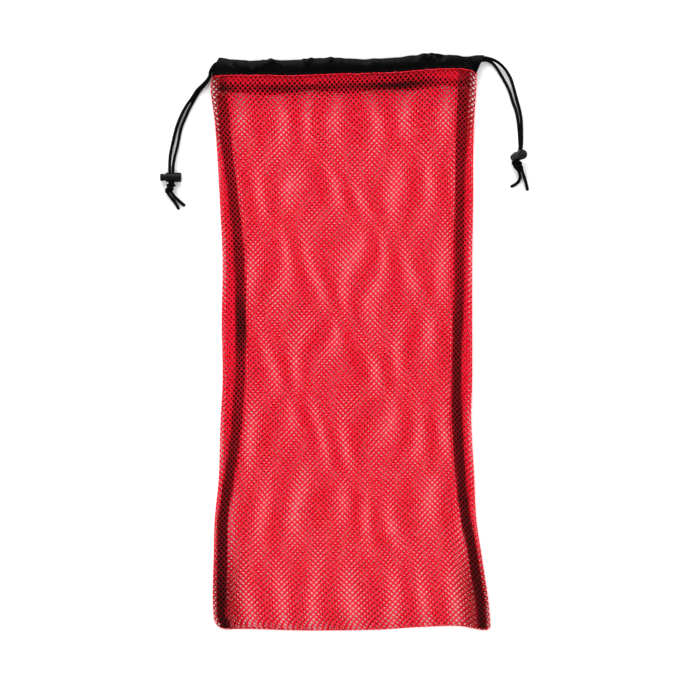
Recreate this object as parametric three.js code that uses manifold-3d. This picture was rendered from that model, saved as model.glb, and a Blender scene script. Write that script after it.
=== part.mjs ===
import * as THREE from 'three';
import Module from 'manifold-3d';
import { mergeVertices } from 'three/addons/utils/BufferGeometryUtils.js';

// A mesh drawstring gear bag, empty and lying flat on its back.
// Millimetres. X runs across the bag, Y from the bottom fold to the mouth, Z up from the floor.

// Driving dimensions of the bag
const bagLength = 661;
const bagWidth = 324;
const netWall = 1.2;
const sideFold = 6;
const netLoft = 17;
const cornerRadius = { left: 14, right: 5 };
const clearance = 0.3;

// The black hem round the mouth
const casingHeight = 17;
const casingLeaf = 0.8;
const casingDepth = 6;
const mouthRise = 8;
const mouthGap = 5.6;
const mouthEndGap = 0.6;
const netTuck = 3;
const facingDrop = 19;
const facingInset = 8.5;
const endSlant = { left: 7.7, right: -9 };
const slantStart = { left: 0.3, right: 0 };
const facingTop = 0.4;
const channelShare = 0.66;

// The bound side seams inside the bag
const tapeWidth = 12;
const tapeWall = 0.5;
const allowanceWall = 0.8;
const seamEnd = 5;
const seamTop = 4;

// The drawcords and what is on them
const cordDiameter = 3.5;
const cordSides = 8;
const cordStep = 12;
const cordEnd = 8;
const lockDiameter = 11;
const lockLength = 17.8;
const lockFloor = 1.6;
const lockRound = 0.9;
const plungerDiameter = 8;
const plungerReach = 12.2;
const buttonLength = 3.2;
const buttonDiameter = 8.6;
const plungerStroke = 3;
const cordFit = 0.35;
const nearCord = 4.4;
const cordPitch = 3.8;
const lockSides = 16;
const knotSides = 12;

// How finely the cloth is divided across the bag
const panelColumns = 16;
const hemColumns = 21;

// Shares of the net's length at which it starts to rise into the hem and has the hem's form
const hemBlend = { start: 0.86, lift: 0.92, end: 0.955 };

// Sizes worked out from those above
const seamLine = bagLength / 2 - casingHeight - mouthRise;
const bottomLine = -bagLength / 2;
const netLength = seamLine - bottomLine;
const leafAndGap = casingLeaf + clearance;
const mouthFold = 2 * casingDepth + mouthEndGap - 2 * leafAndGap;
const mouthLoft = mouthFold + mouthGap;
const boreDiameter = plungerDiameter + 2 * cordFit;
const cordRadius = cordDiameter / 2;
const slotStart = nearCord - cordRadius - cordFit;
const slotEnd = nearCord + cordPitch + cordRadius + cordFit;

// Half widths of the outline, as shares of the bag's width, from the bottom fold to the mouth
const outline = [
  { at: 0, left: 0.477, right: 0.4985 },
  { at: 0.056, left: 0.484, right: 0.489 },
  { at: 0.128, left: 0.481, right: 0.468 },
  { at: 0.2, left: 0.477, right: 0.447 },
  { at: 0.272, left: 0.463, right: 0.44 },
  { at: 0.379, left: 0.456, right: 0.429 },
  { at: 0.451, left: 0.449, right: 0.4326 },
  { at: 0.559, left: 0.452, right: 0.4326 },
  { at: 0.667, left: 0.449, right: 0.4326 },
  { at: 0.775, left: 0.459, right: 0.436 },
  { at: 0.847, left: 0.4665, right: 0.436 },
  { at: 0.919, left: 0.477, right: 0.44 },
  { at: 0.977, left: 0.491, right: 0.447 },
  { at: 1, left: 0.486, right: 0.4485 },
  { at: 1.02, left: 0.484, right: 0.45 },
];

// Middle of each binding tape from the bag's middle line, as shares of the bag's width
const bindingLine = [
  { at: 0, left: 0.4538, right: 0.481 },
  { at: 0.128, left: 0.4542, right: 0.4379 },
  { at: 0.2, left: 0.4503, right: 0.4103 },
  { at: 0.236, left: 0.4382, right: 0.4 },
  { at: 0.308, left: 0.417, right: 0.388 },
  { at: 0.343, left: 0.4046, right: 0.3834 },
  { at: 0.415, left: 0.3936, right: 0.3784 },
  { at: 0.508, left: 0.3851, right: 0.3805 },
  { at: 0.595, left: 0.3876, right: 0.3873 },
  { at: 0.685, left: 0.3936, right: 0.388 },
  { at: 0.775, left: 0.4113, right: 0.3897 },
  { at: 0.865, left: 0.4333, right: 0.3936 },
  { at: 0.96, left: 0.4605, right: 0.3995 },
];

// Rise of the bottom fold above its lowest point, as a share of the bag's length
const bottomFoldLine = [
  { at: -1, lift: 0.0012 },
  { at: -0.8, lift: 0.0031 },
  { at: -0.35, lift: 0.0003 },
  { at: 0.2, lift: 0.0017 },
  { at: 0.37, lift: 0.0045 },
  { at: 0.55, lift: 0.0069 },
  { at: 0.78, lift: 0.0081 },
  { at: 0.93, lift: 0.0017 },
  { at: 1, lift: 0 },
];

// The hem's seam as shares of mouthRise, and its height as shares of casingHeight, across the mouth
const hemLine = [
  { at: -1, lift: 0.04, height: 1.2 },
  { at: -0.93, lift: 0.06, height: 1.2 },
  { at: -0.86, lift: 0.08, height: 1.06 },
  { at: -0.67, lift: 0.08, height: 0.99 },
  { at: -0.42, lift: 0, height: 1.04 },
  { at: -0.16, lift: 0.18, height: 1.12 },
  { at: -0.03, lift: 0.25, height: 1.04 },
  { at: 0.14, lift: 0.31, height: 0.96 },
  { at: 0.4, lift: 0.5, height: 1 },
  { at: 0.49, lift: 0.66, height: 1.06 },
  { at: 0.69, lift: 0.96, height: 1 },
  { at: 0.83, lift: 1, height: 0.91 },
  { at: 0.91, lift: 1, height: 0.82 },
  { at: 1, lift: 0.45, height: 1.19 },
];

// Rows of the net along its length, closer together where its form changes
const netRows = [0.012, 0.022, 0.045, 0.08, 0.12, 0.16, 0.2, 0.24, 0.28, 0.32, 0.37, 0.42, 0.47, 0.53,
  0.59, 0.65, 0.71, 0.77, 0.82, 0.865, 0.9, 0.925, 0.94, 0.955, 1];

// Height of the front panel's middle between the side fold (0) and netLoft (1)
const loftLine = [
  { at: 0, loft: 0 },
  { at: 0.03, loft: 0.25 },
  { at: 0.1, loft: 0.62 },
  { at: 0.2, loft: 0.9 },
  { at: 0.35, loft: 1 },
  { at: 0.55, loft: 0.86 },
  { at: 0.75, loft: 0.97 },
  { at: 0.9, loft: 0.9 },
  { at: 1, loft: 0.86 },
];

// Soft swells and hollows of the front panel: place, half widths as shares, and height over netLoft
const swells = [
  { across: -0.45, at: 0.84, wide: 0.2, long: 0.07, rise: 0.09 },
  { across: -0.05, at: 0.78, wide: 0.16, long: 0.1, rise: -0.08 },
  { across: 0.3, at: 0.72, wide: 0.14, long: 0.08, rise: 0.09 },
  { across: -0.3, at: 0.55, wide: 0.18, long: 0.07, rise: -0.07 },
  { across: 0.2, at: 0.47, wide: 0.2, long: 0.06, rise: 0.08 },
  { across: -0.35, at: 0.33, wide: 0.16, long: 0.06, rise: 0.07 },
  { across: 0.45, at: 0.3, wide: 0.15, long: 0.08, rise: -0.08 },
  { across: -0.1, at: 0.18, wide: 0.25, long: 0.05, rise: -0.06 },
];

// Free cords from the hem to the locks, outside points only
const cordRoutes = {
  left_front: [
    { x: -156.8, y: 316, z: 9.5 },
    { x: -159.7, y: 310.6, z: 9.3 },
    { x: -160.8, y: 305.2, z: 9 },
    { x: -163.6, y: 300.6, z: 8.6 },
    { x: -169.2, y: 295, z: 7.8 },
    { x: -175.4, y: 289, z: 6.8 },
    { x: -181.3, y: 280, z: 5.4 },
    { x: -188, y: 270.8, z: 3.9 },
    { x: -194.2, y: 259.3, z: 2.6 },
    { x: -199, y: 246.7, z: 1.9 },
    { x: -203, y: 230.7, z: 1.9 },
    { x: -205.8, y: 217, z: 3 },
    { x: -206.6, y: 205, z: 5.1 },
  ],
  left_back: [
    { x: -156.8, y: 316, z: 3.1 },
    { x: -159.7, y: 310.6, z: 3 },
    { x: -160.8, y: 305.2, z: 2.8 },
    { x: -163.2, y: 300.4, z: 2.4 },
    { x: -167, y: 295.6, z: 2 },
    { x: -171.8, y: 289.8, z: 1.9 },
    { x: -178, y: 280, z: 1.9 },
    { x: -183.7, y: 269.6, z: 1.9 },
    { x: -188.9, y: 258.2, z: 1.9 },
    { x: -193.6, y: 246.7, z: 1.9 },
    { x: -196, y: 235.3, z: 1.9 },
    { x: -198.3, y: 223.8, z: 2.2 },
    { x: -200.9, y: 213.5, z: 3.6 },
    { x: -202.5, y: 204, z: 5.2 },
  ],
  right_front: [
    { x: 147.5, y: 324.4, z: 9.5 },
    { x: 153.6, y: 326.4, z: 9.2 },
    { x: 159.5, y: 325.6, z: 8.5 },
    { x: 165.1, y: 323.9, z: 7.6 },
    { x: 171.2, y: 320.5, z: 6.4 },
    { x: 177.2, y: 315, z: 5 },
    { x: 181.9, y: 308.6, z: 3.6 },
    { x: 185.6, y: 301.1, z: 2.4 },
    { x: 188.5, y: 291.4, z: 1.9 },
    { x: 191.9, y: 278.8, z: 1.9 },
    { x: 195.3, y: 266.2, z: 2.2 },
    { x: 196.9, y: 254.8, z: 4.2 },
    { x: 197.1, y: 243.3, z: 7.1 },
    { x: 197, y: 231.9, z: 10.7 },
  ],
  right_back: [
    { x: 147.5, y: 323, z: 3 },
    { x: 153.6, y: 324.2, z: 2.7 },
    { x: 159, y: 323.6, z: 2.3 },
    { x: 164, y: 320.9, z: 2 },
    { x: 168, y: 316.2, z: 1.9 },
    { x: 171.2, y: 311.4, z: 1.9 },
    { x: 173.9, y: 307.1, z: 1.9 },
    { x: 177, y: 301.7, z: 1.9 },
    { x: 180.7, y: 294.8, z: 1.9 },
    { x: 184.1, y: 286.8, z: 1.9 },
    { x: 187.2, y: 276.5, z: 1.9 },
    { x: 191, y: 266.2, z: 1.9 },
    { x: 193.2, y: 254.8, z: 2.2 },
    { x: 194.2, y: 243.3, z: 4 },
    { x: 194.7, y: 231.9, z: 6.9 },
  ],
};

// Loose ends of the cords below the knots
const tailRoutes = {
  left_front: [
    { x: -204.2, y: 165.2, z: 2.6 },
    { x: -199.9, y: 159.7, z: 1.9 },
    { x: -196.1, y: 152.9, z: 1.9 },
  ],
  left_back: [
    { x: -200.4, y: 166.8, z: 2.6 },
    { x: -195.2, y: 162, z: 1.9 },
    { x: -189.3, y: 156.9, z: 1.9 },
  ],
  right_front: [
    { x: 200.3, y: 190.6, z: 2.6 },
    { x: 202, y: 185, z: 1.9 },
    { x: 204.4, y: 174.6, z: 1.9 },
  ],
  right_back: [
    { x: 195.6, y: 190, z: 2.4 },
    { x: 194, y: 185.2, z: 1.9 },
    { x: 190.1, y: 181.4, z: 1.9 },
    { x: 184.9, y: 178.8, z: 1.9 },
  ],
};

// Each lock: the barrel's open rim, the way its closed end points, how far that end is raised
// and its turn about its own axis
const locks = {
  left: { rim: new THREE.Vector3(-211, 189.5, 5.6), heading: 0, tilt: 0, roll: 0, frontCord: 0 },
  right: { rim: new THREE.Vector3(190.5, 213, 7.8), heading: 15, tilt: 65, roll: -33, frontCord: 1 },
};

// Each knot: its far end, the way the loose ends leave it, its greatest radius,
// and which cord's loose end lies on the right of that way
const knots = {
  left: { end: new THREE.Vector3(-206.7, 172, 4.6), leaves: new THREE.Vector3(0.55, -0.8, -0.2), radius: 5.2,
    onRight: 'front' },
  right: { end: new THREE.Vector3(195.9, 196.9, 4.8), leaves: new THREE.Vector3(0.35, -0.9, -0.3), radius: 6.1,
    onRight: 'back' },
};

// Radius of each knot along its length, as shares of its greatest radius
const knotProfiles = {
  left: [
    { at: 0, radius: 0.72 },
    { at: 0.1, radius: 0.92 },
    { at: 0.22, radius: 1 },
    { at: 0.34, radius: 0.9 },
    { at: 0.42, radius: 0.8 },
    { at: 0.55, radius: 0.94 },
    { at: 0.68, radius: 0.84 },
    { at: 0.76, radius: 0.74 },
    { at: 0.9, radius: 0.8 },
    { at: 1, radius: 0.7 },
  ],
  right: [
    { at: 0, radius: 0.8 },
    { at: 0.1, radius: 0.97 },
    { at: 0.2, radius: 1 },
    { at: 0.32, radius: 0.92 },
    { at: 0.44, radius: 0.84 },
    { at: 0.56, radius: 0.8 },
    { at: 0.68, radius: 0.73 },
    { at: 0.8, radius: 0.68 },
    { at: 0.9, radius: 0.63 },
    { at: 1, radius: 0.56 },
  ],
};

const manifold = await Module();
manifold.setup();

// Smooth value of one column of a table at a place between its rows
function valueAt(rows, column, place) {
  const last = rows.length - 1;
  if (place <= rows[0].at) return rows[0][column];
  if (place >= rows[last].at) return rows[last][column];
  const index = rows.findIndex((row) => row.at > place) - 1;
  const slopeAt = (row) => {
    const before = rows[Math.max(row - 1, 0)];
    const after = rows[Math.min(row + 1, last)];
    return (after[column] - before[column]) / (after.at - before.at);
  };
  const span = rows[index + 1].at - rows[index].at;
  const t = (place - rows[index].at) / span;
  const from = rows[index][column];
  const to = rows[index + 1][column];
  const bend = 3 * t * t - 2 * t * t * t;
  const slopes = slopeAt(index) * t * (1 - t) * (1 - t) - slopeAt(index + 1) * t * t * (1 - t);
  return from + (to - from) * bend + slopes * span;
}

const mix = THREE.MathUtils.lerp;
const ramp = THREE.MathUtils.smoothstep;

// Closed body through loops of equal length, with both ends filled in
function solidFromLoops(loops, endShape) {
  const count = loops[0].length;
  const positions = loops.flat().flatMap((point) => [point.x, point.y, point.z]);
  const faces = [];
  for (let loop = 0; loop < loops.length - 1; loop += 1) {
    for (let i = 0; i < count; i += 1) {
      const here = loop * count + i;
      const next = loop * count + ((i + 1) % count);
      faces.push(here, next, next + count, here, next + count, here + count);
    }
  }
  const sameWay = THREE.ShapeUtils.area(endShape);
  const last = (loops.length - 1) * count;
  for (const face of THREE.ShapeUtils.triangulateShape(endShape, [])) {
    const turned = THREE.ShapeUtils.area(face.map((i) => endShape[i])) * sameWay < 0;
    const [a, b, c] = turned ? [face[0], face[2], face[1]] : face;
    faces.push(c, b, a, last + a, last + b, last + c);
  }
  return facedOutward(positions, faces);
}

// Geometry whose faces point out of the body, whichever way they were listed
function facedOutward(positions, faces) {
  const corner = (i) => new THREE.Vector3().fromArray(positions, 3 * i);
  let volume = 0;
  for (let i = 0; i < faces.length; i += 3) {
    const [a, b, c] = [corner(faces[i]), corner(faces[i + 1]), corner(faces[i + 2])];
    volume += a.dot(b.cross(c));
  }
  const geometry = new THREE.BufferGeometry();
  geometry.setAttribute('position', new THREE.Float32BufferAttribute(positions, 3));
  geometry.setIndex(volume < 0 ? faces.reverse() : faces);
  return geometry;
}

// Outline of a line of points given a thickness, for folded leaves and tapes
function thickLine(points, thickness) {
  const sides = points.map((point, i) => {
    const before = points[Math.max(i - 1, 0)];
    const after = points[Math.min(i + 1, points.length - 1)];
    const back = point.clone().sub(before).normalize();
    const ahead = after.clone().sub(point).normalize();
    const along = back.add(ahead).normalize();
    const inward = i === points.length - 1 ? 1 : along.dot(ahead);
    const reach = thickness / 2 / Math.max(inward, 0.5);
    return new THREE.Vector2(-along.y, along.x).multiplyScalar(reach);
  });
  const near = points.map((point, i) => point.clone().add(sides[i]));
  const far = points.map((point, i) => point.clone().sub(sides[i])).reverse();
  return [...near, ...far];
}

function toManifold(geometry) {
  const bare = geometry.clone();
  bare.deleteAttribute('normal');
  bare.deleteAttribute('uv');
  const merged = mergeVertices(bare, 1e-4);
  const mesh = new manifold.Mesh({
    numProp: 3,
    vertProperties: new Float32Array(merged.attributes.position.array),
    triVerts: new Uint32Array(merged.index.array),
  });
  return new manifold.Manifold(mesh);
}

function fromManifold(solid) {
  const mesh = solid.getMesh();
  const geometry = new THREE.BufferGeometry();
  geometry.setAttribute('position', new THREE.Float32BufferAttribute(mesh.vertProperties, 3));
  geometry.setIndex(Array.from(mesh.triVerts));
  return geometry;
}

// The outline's side edge, rounded at the bottom corner, drawn in by an inset
function sideEdge(side, distance, inset = 0) {
  const halfWidth = valueAt(outline, side, distance / netLength) * bagWidth;
  const radius = cornerRadius[side] - inset;
  const short = Math.max(radius - Math.max(distance - inset, 0), 0);
  const cut = radius - Math.sqrt(radius * radius - short * short);
  return halfWidth - inset - cut;
}

// Signed place across the bag, -1 at the left edge and 1 at the right
function acrossAt(x, distance) {
  return x < 0 ? x / sideEdge('left', distance) : x / sideEdge('right', distance);
}

function seamY(across) {
  return seamLine + valueAt(hemLine, 'lift', across) * mouthRise;
}

function hemHeight(across) {
  return valueAt(hemLine, 'height', across) * casingHeight;
}

// Place along the bag, from the bottom fold's own line to the hem's seam
function placeY(across, distance) {
  const fold = bottomLine + valueAt(bottomFoldLine, 'lift', across) * bagLength;
  return mix(fold, seamY(across), distance / netLength);
}

// Shares of the change from the lying bag to the hem, near the mouth
const toHem = (distance) => ramp(distance / netLength, hemBlend.start, hemBlend.end);
const netBase = (distance) => leafAndGap * ramp(distance / netLength, hemBlend.lift, hemBlend.end);
const foldHeight = (distance) => mix(sideFold, mouthFold, toHem(distance));

// How far the front panel has risen from the side folds, 0 at the folds and 1 in the middle
function arch(x, distance) {
  const inset = foldHeight(distance) / 2;
  const edge = sideEdge(x < 0 ? 'left' : 'right', Math.max(distance, sideFold)) - inset;
  return 1 - Math.min(Math.abs(x) / edge, 1) ** 4;
}

function swellAt(x, distance) {
  const across = acrossAt(x, distance);
  const at = distance / netLength;
  const heights = swells.map((swell) => {
    const square = ((across - swell.across) / swell.wide) ** 2 + ((at - swell.at) / swell.long) ** 2;
    return swell.rise * Math.exp(-square / 2);
  });
  return heights.reduce((sum, height) => sum + height, 0) * netLoft * (1 - toHem(distance));
}

// Top of the front panel over the floor
function frontHeight(x, distance) {
  const lyingLoft = mix(sideFold, netLoft, valueAt(loftLine, 'loft', distance / netLength));
  const loft = mix(lyingLoft, mouthLoft, toHem(distance));
  const fold = foldHeight(distance);
  const raised = arch(x, distance);
  return netBase(distance) + fold + (loft - fold) * raised + swellAt(x, distance) * raised;
}

// One loop round the net: front panel, right fold, back panel, left fold
function netLoop(distance, inset, squeeze) {
  const fold = foldHeight(distance);
  const base = netBase(distance);
  const middle = base + fold / 2;
  const left = -sideEdge('left', distance, inset) + fold / 2 - inset;
  const right = sideEdge('right', distance, inset) - fold / 2 + inset;
  const panel = Array.from({ length: panelColumns + 1 }, (_, i) => mix(left, right, i / panelColumns));
  const corners = [45, 0, -45].map((turn) => THREE.MathUtils.degToRad(turn));
  const radius = fold / 2 - inset;
  const points = [
    ...panel.map((x) => [x, frontHeight(x, distance) - inset]),
    ...corners.map((turn) => [right + radius * Math.cos(turn), middle + radius * Math.sin(turn)]),
    ...panel.reverse().map((x) => [x, base + inset]),
    ...corners.map((turn) => [left - radius * Math.cos(turn), middle - radius * Math.sin(turn)]),
  ];
  return points.map(([x, z]) => {
    const across = acrossAt(x, Math.max(distance, sideFold));
    return new THREE.Vector3(x, placeY(across, distance), middle + (z - middle) * squeeze);
  });
}

// Loops from the bottom fold up to the net's edge inside the hem
function netLoops(inset) {
  const foldRadius = sideFold / 2 - inset;
  const bottom = [15, 40, 65, 90].map((turn) => {
    const angle = THREE.MathUtils.degToRad(turn);
    return netLoop(inset + foldRadius * (1 - Math.cos(angle)), inset, Math.sin(angle));
  });
  const lying = netRows.map((row) => netLoop(row * netLength, inset, 1));
  return [...bottom, ...lying, netLoop(netLength + netTuck, inset, 1)];
}

function netBody() {
  const outer = netLoops(0);
  const inner = netLoops(netWall);
  const endShape = outer[0].map((point) => new THREE.Vector2(point.x, point.z));
  return solidFromLoops([...outer, ...inner.reverse()], endShape);
}

// Outermost place for a strip that lies on the back panel, clear of the rounded side fold
function seamEdge(side, distance) {
  return sideEdge(side, distance) - foldHeight(distance) / 2;
}

function bindingMiddle(side, distance) {
  const wanted = valueAt(bindingLine, side, distance / netLength) * bagWidth;
  return Math.min(wanted, seamEdge(side, distance) - tapeWidth / 2);
}

function seamDistances() {
  const top = netLength - facingDrop - seamTop;
  const between = netRows.map((row) => row * netLength).filter((row) => row > 2 * seamEnd && row < top - seamEnd);
  return [seamEnd, ...between, top];
}

// A strip inside one side seam, its section drawn from the tape's middle outwards
function seamStrip(side, sectionAt) {
  const sign = side === 'left' ? -1 : 1;
  const loops = seamDistances().map((distance) => {
    const middle = bindingMiddle(side, distance);
    const base = netBase(distance) + netWall + clearance;
    const y = placeY(sign * middle / sideEdge(side, distance), distance);
    return sectionAt(distance).map((point) => {
      return new THREE.Vector3(sign * (middle + point.x), y, base + point.y);
    });
  });
  return solidFromLoops(loops, sectionAt(seamEnd));
}

// Tape folded over the edge of the seam allowance, open towards the side of the bag
function sideBinding(side) {
  const low = tapeWall / 2;
  const high = low + tapeWall + allowanceWall + 2 * clearance;
  const inner = -tapeWidth / 2 + low;
  const line = [
    new THREE.Vector2(tapeWidth / 2, low),
    new THREE.Vector2(inner + tapeWall, low),
    new THREE.Vector2(inner, mix(low, high, 0.3)),
    new THREE.Vector2(inner, mix(low, high, 0.7)),
    new THREE.Vector2(inner + tapeWall, high),
    new THREE.Vector2(tapeWidth / 2, high),
  ];
  return seamStrip(side, () => thickLine(line, tapeWall));
}

// The net's turned-in edge, from the side of the bag into the tape
function seamAllowance(side) {
  const low = tapeWall + clearance;
  const inner = -tapeWidth / 2 + 3 * tapeWall + clearance;
  return seamStrip(side, (distance) => {
    const outer = seamEdge(side, distance) - bindingMiddle(side, distance);
    return [
      new THREE.Vector2(inner, low),
      new THREE.Vector2(outer, low),
      new THREE.Vector2(outer, low + allowanceWall),
      new THREE.Vector2(inner, low + allowanceWall),
    ];
  });
}

// Line of the hem's cloth: outer leaf, round the channel, then down as the facing.
// up is a share of the hem's height, depth is measured from the outer face.
function hemCloth() {
  const outer = casingLeaf / 2;
  const facing = leafAndGap + netWall + clearance + casingLeaf / 2;
  const channel = casingDepth - casingLeaf / 2;
  return [
    { up: 0, depth: outer },
    { up: 0.3, depth: outer },
    { up: 0.6, depth: outer },
    { up: 0.85, depth: outer },
    { up: 0.94, depth: mix(outer, channel, 0.14) },
    { up: 0.975, depth: mix(outer, channel, 0.5) },
    { up: 0.94, depth: mix(outer, channel, 0.86) },
    { up: 0.85, depth: channel },
    { up: 0.52, depth: channel },
    { up: 0.3, depth: facing },
    { up: 0.12, depth: facing },
    { up: 0, depth: facing, drop: facingDrop },
  ];
}

// Height of the front hem's outer face over the floor
function hemTop(x, distance = netLength) {
  return 2 * casingDepth + mouthEndGap + mouthGap * arch(x, distance);
}

function casing(face) {
  const cloth = hemCloth();
  const contour = thickLine(
    cloth.map((row) => new THREE.Vector2(row.up * casingHeight - (row.drop ?? 0), row.depth)),
    casingLeaf,
  );
  const loops = Array.from({ length: hemColumns + 1 }, (_, column) => {
    return contour.map((point) => {
      const up = point.x / casingHeight;
      const inside = up < facingTop && point.y > casingDepth / 3;
      const ends = ['left', 'right'].map((side) => {
        const slanted = endSlant[side] * Math.max(up - slantStart[side], 0) / (1 - slantStart[side]);
        return sideEdge(side, netLength) - (inside ? facingInset : slanted);
      });
      const x = mix(-ends[0], ends[1], column / hemColumns);
      const across = acrossAt(x, netLength);
      const drop = up < 0 ? point.x : up * hemHeight(across);
      const z = face === 'front' ? hemTop(x, netLength + Math.min(drop, 0)) - point.y : point.y;
      return new THREE.Vector3(x, seamY(across) + drop, z);
    });
  });
  return solidFromLoops(loops, contour);
}

// Middle of the hem's channel
function channelPoint(face, x) {
  const across = acrossAt(x, netLength);
  const z = face === 'front' ? hemTop(x) - casingDepth / 2 : casingDepth / 2;
  return new THREE.Vector3(x, seamY(across) + channelShare * hemHeight(across), z);
}

// A cord through its points
function cordTube(points) {
  const path = new THREE.CatmullRomCurve3(points, false, 'centripetal');
  const section = new THREE.Shape();
  for (let i = 0; i < cordSides; i += 1) {
    const turn = 2 * Math.PI * i / cordSides;
    section[i ? 'lineTo' : 'moveTo'](cordRadius * Math.cos(turn), cordRadius * Math.sin(turn));
  }
  const steps = Math.max(3, Math.round(path.getLength() / cordStep));
  return new THREE.ExtrudeGeometry(section, { steps, extrudePath: path, bevelEnabled: false });
}

function hiddenCord(face) {
  const from = -sideEdge('left', netLength) + cordEnd;
  const to = sideEdge('right', netLength) - cordEnd;
  const shares = Array.from({ length: hemColumns + 1 }, (_, i) => i / hemColumns);
  return cordTube(shares.map((share) => channelPoint(face, mix(from, to, share))));
}

// Where a cord passes a lock: which cord, and how far along the way through
function lockPassage(side, face, along) {
  const lock = locks[side];
  const second = (face === 'front') === (lock.frontCord === 1);
  const local = new THREE.Vector3(nearCord + (second ? cordPitch : 0), along, 0);
  return local.applyEuler(lockTurn(lock)).add(lock.rim);
}

function lockTurn(lock) {
  const heading = THREE.MathUtils.degToRad(lock.heading);
  const tilt = THREE.MathUtils.degToRad(lock.tilt);
  const roll = THREE.MathUtils.degToRad(lock.roll);
  return new THREE.Euler(roll, -tilt, heading, 'ZYX');
}

function freeCord(side, face) {
  const sign = side === 'left' ? -1 : 1;
  const start = sideEdge(side, netLength) - cordEnd + clearance;
  const inside = [0, cordDiameter].map((step) => channelPoint(face, sign * (start + step)));
  const outside = cordRoutes[`${side}_${face}`].map((point) => new THREE.Vector3(point.x, point.y, point.z));
  const reach = lockDiameter / 2;
  const through = [reach + cordDiameter, 0, -reach - clearance].map((along) => lockPassage(side, face, along));
  return cordTube([...inside, ...outside, ...through]);
}

// Loose end of a cord, from its half of the knot's far face
function tail(side, face) {
  const { end, leaves, onRight } = knots[side];
  const onward = leaves.clone().normalize();
  const right = new THREE.Vector3().crossVectors(onward, new THREE.Vector3(0, 0, 1)).normalize();
  const start = end.clone().addScaledVector(onward, clearance);
  start.addScaledVector(right, (face === onRight ? 1 : -1) * cordPitch / 2);
  const lying = tailRoutes[`${side}_${face}`].map((point) => new THREE.Vector3(point.x, point.y, point.z));
  return cordTube([start, start.clone().addScaledVector(onward, cordRadius), ...lying]);
}

// Lathe a profile of length and radius rows about the X axis
function turned(rows, sides) {
  const profile = rows.map((row) => new THREE.Vector2(row.radius, row.x));
  return new THREE.LatheGeometry(profile, sides).rotateZ(-Math.PI / 2);
}

// Block with round ends along X, for the cords' way through a lock
function cordSlot(from, to, through) {
  const radius = cordRadius + cordFit;
  const slot = new THREE.Shape();
  slot.absarc(to - radius, 0, radius, -Math.PI / 2, Math.PI / 2);
  slot.absarc(from + radius, 0, radius, Math.PI / 2, 3 * Math.PI / 2);
  const block = new THREE.ExtrudeGeometry(slot, { depth: through, bevelEnabled: false, curveSegments: 6 });
  return block.translate(0, 0, -through / 2).rotateX(Math.PI / 2);
}

function lockBarrel() {
  const outer = lockDiameter / 2;
  const bore = boreDiameter / 2;
  const floor = lockLength - lockFloor;
  const body = turned([
    { x: 0, radius: 0 },
    { x: 0, radius: outer - lockRound / 2 },
    { x: lockRound / 2, radius: outer },
    { x: lockLength - lockRound, radius: outer },
    { x: lockLength, radius: outer - lockRound },
    { x: lockLength, radius: 0 },
  ], lockSides);
  const hollow = turned([
    { x: -lockFloor, radius: 0 },
    { x: -lockFloor, radius: bore },
    { x: floor, radius: bore },
    { x: floor, radius: 0 },
  ], lockSides);
  const slot = cordSlot(slotStart, slotEnd, 2 * lockDiameter);
  return fromManifold(toManifold(body).subtract(toManifold(hollow)).subtract(toManifold(slot)));
}

function lockPlunger() {
  const stem = plungerDiameter / 2;
  const button = buttonDiameter / 2;
  const tip = -plungerStroke - clearance - buttonLength;
  const body = turned([
    { x: tip, radius: 0 },
    { x: tip, radius: button - lockRound },
    { x: tip + lockRound, radius: button },
    { x: tip + buttonLength, radius: button },
    { x: tip + buttonLength, radius: stem },
    { x: plungerReach, radius: stem },
    { x: plungerReach, radius: 0 },
  ], lockSides);
  const slot = cordSlot(slotStart - plungerStroke, slotEnd, 2 * lockDiameter);
  return fromManifold(toManifold(body).subtract(toManifold(slot)));
}

// Knot from a lock's lower side, round to the way its loose ends leave
function knot(side) {
  const { end, leaves, radius } = knots[side];
  const gap = lockDiameter / 2 + 2 * clearance;
  const start = lockPassage(side, 'front', -gap).add(lockPassage(side, 'back', -gap)).multiplyScalar(0.5);
  const onward = new THREE.Vector3(0, -1, 0).applyEuler(lockTurn(locks[side]));
  const third = start.distanceTo(end) / 3;
  const enter = start.clone().addScaledVector(onward, third);
  const leave = end.clone().addScaledVector(leaves.clone().normalize(), -third);
  const path = new THREE.CubicBezierCurve3(start, enter, leave, end);
  const circle = Array.from({ length: knotSides }, (_, i) => {
    const turn = 2 * Math.PI * i / knotSides;
    return new THREE.Vector2(Math.cos(turn), Math.sin(turn));
  });
  const loops = knotProfiles[side].map((row) => {
    const along = path.getTangent(row.at);
    const sideways = new THREE.Vector3().crossVectors(along, new THREE.Vector3(0, 0, 1)).normalize();
    const upward = new THREE.Vector3().crossVectors(sideways, along);
    return circle.map((point) => path.getPoint(row.at)
      .addScaledVector(sideways, point.x * row.radius * radius)
      .addScaledVector(upward, point.y * row.radius * radius));
  });
  return solidFromLoops(loops, circle);
}

const materials = {
  net: { color: 0xc8131f, roughness: 0.55 },
  allowance: { color: 0xb8121c, roughness: 0.6 },
  tape: { color: 0x120e10, roughness: 0.8 },
  hem: { color: 0x0e0d10, roughness: 0.45 },
  cord: { color: 0x111114, roughness: 0.7 },
  lock: { color: 0x141416, roughness: 0.35 },
};

const bag = new THREE.Group();

function addPiece(parent, name, geometry, material) {
  const mesh = new THREE.Mesh(geometry, new THREE.MeshStandardMaterial({ metalness: 0, ...materials[material] }));
  mesh.name = name;
  parent.add(mesh);
}

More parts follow.
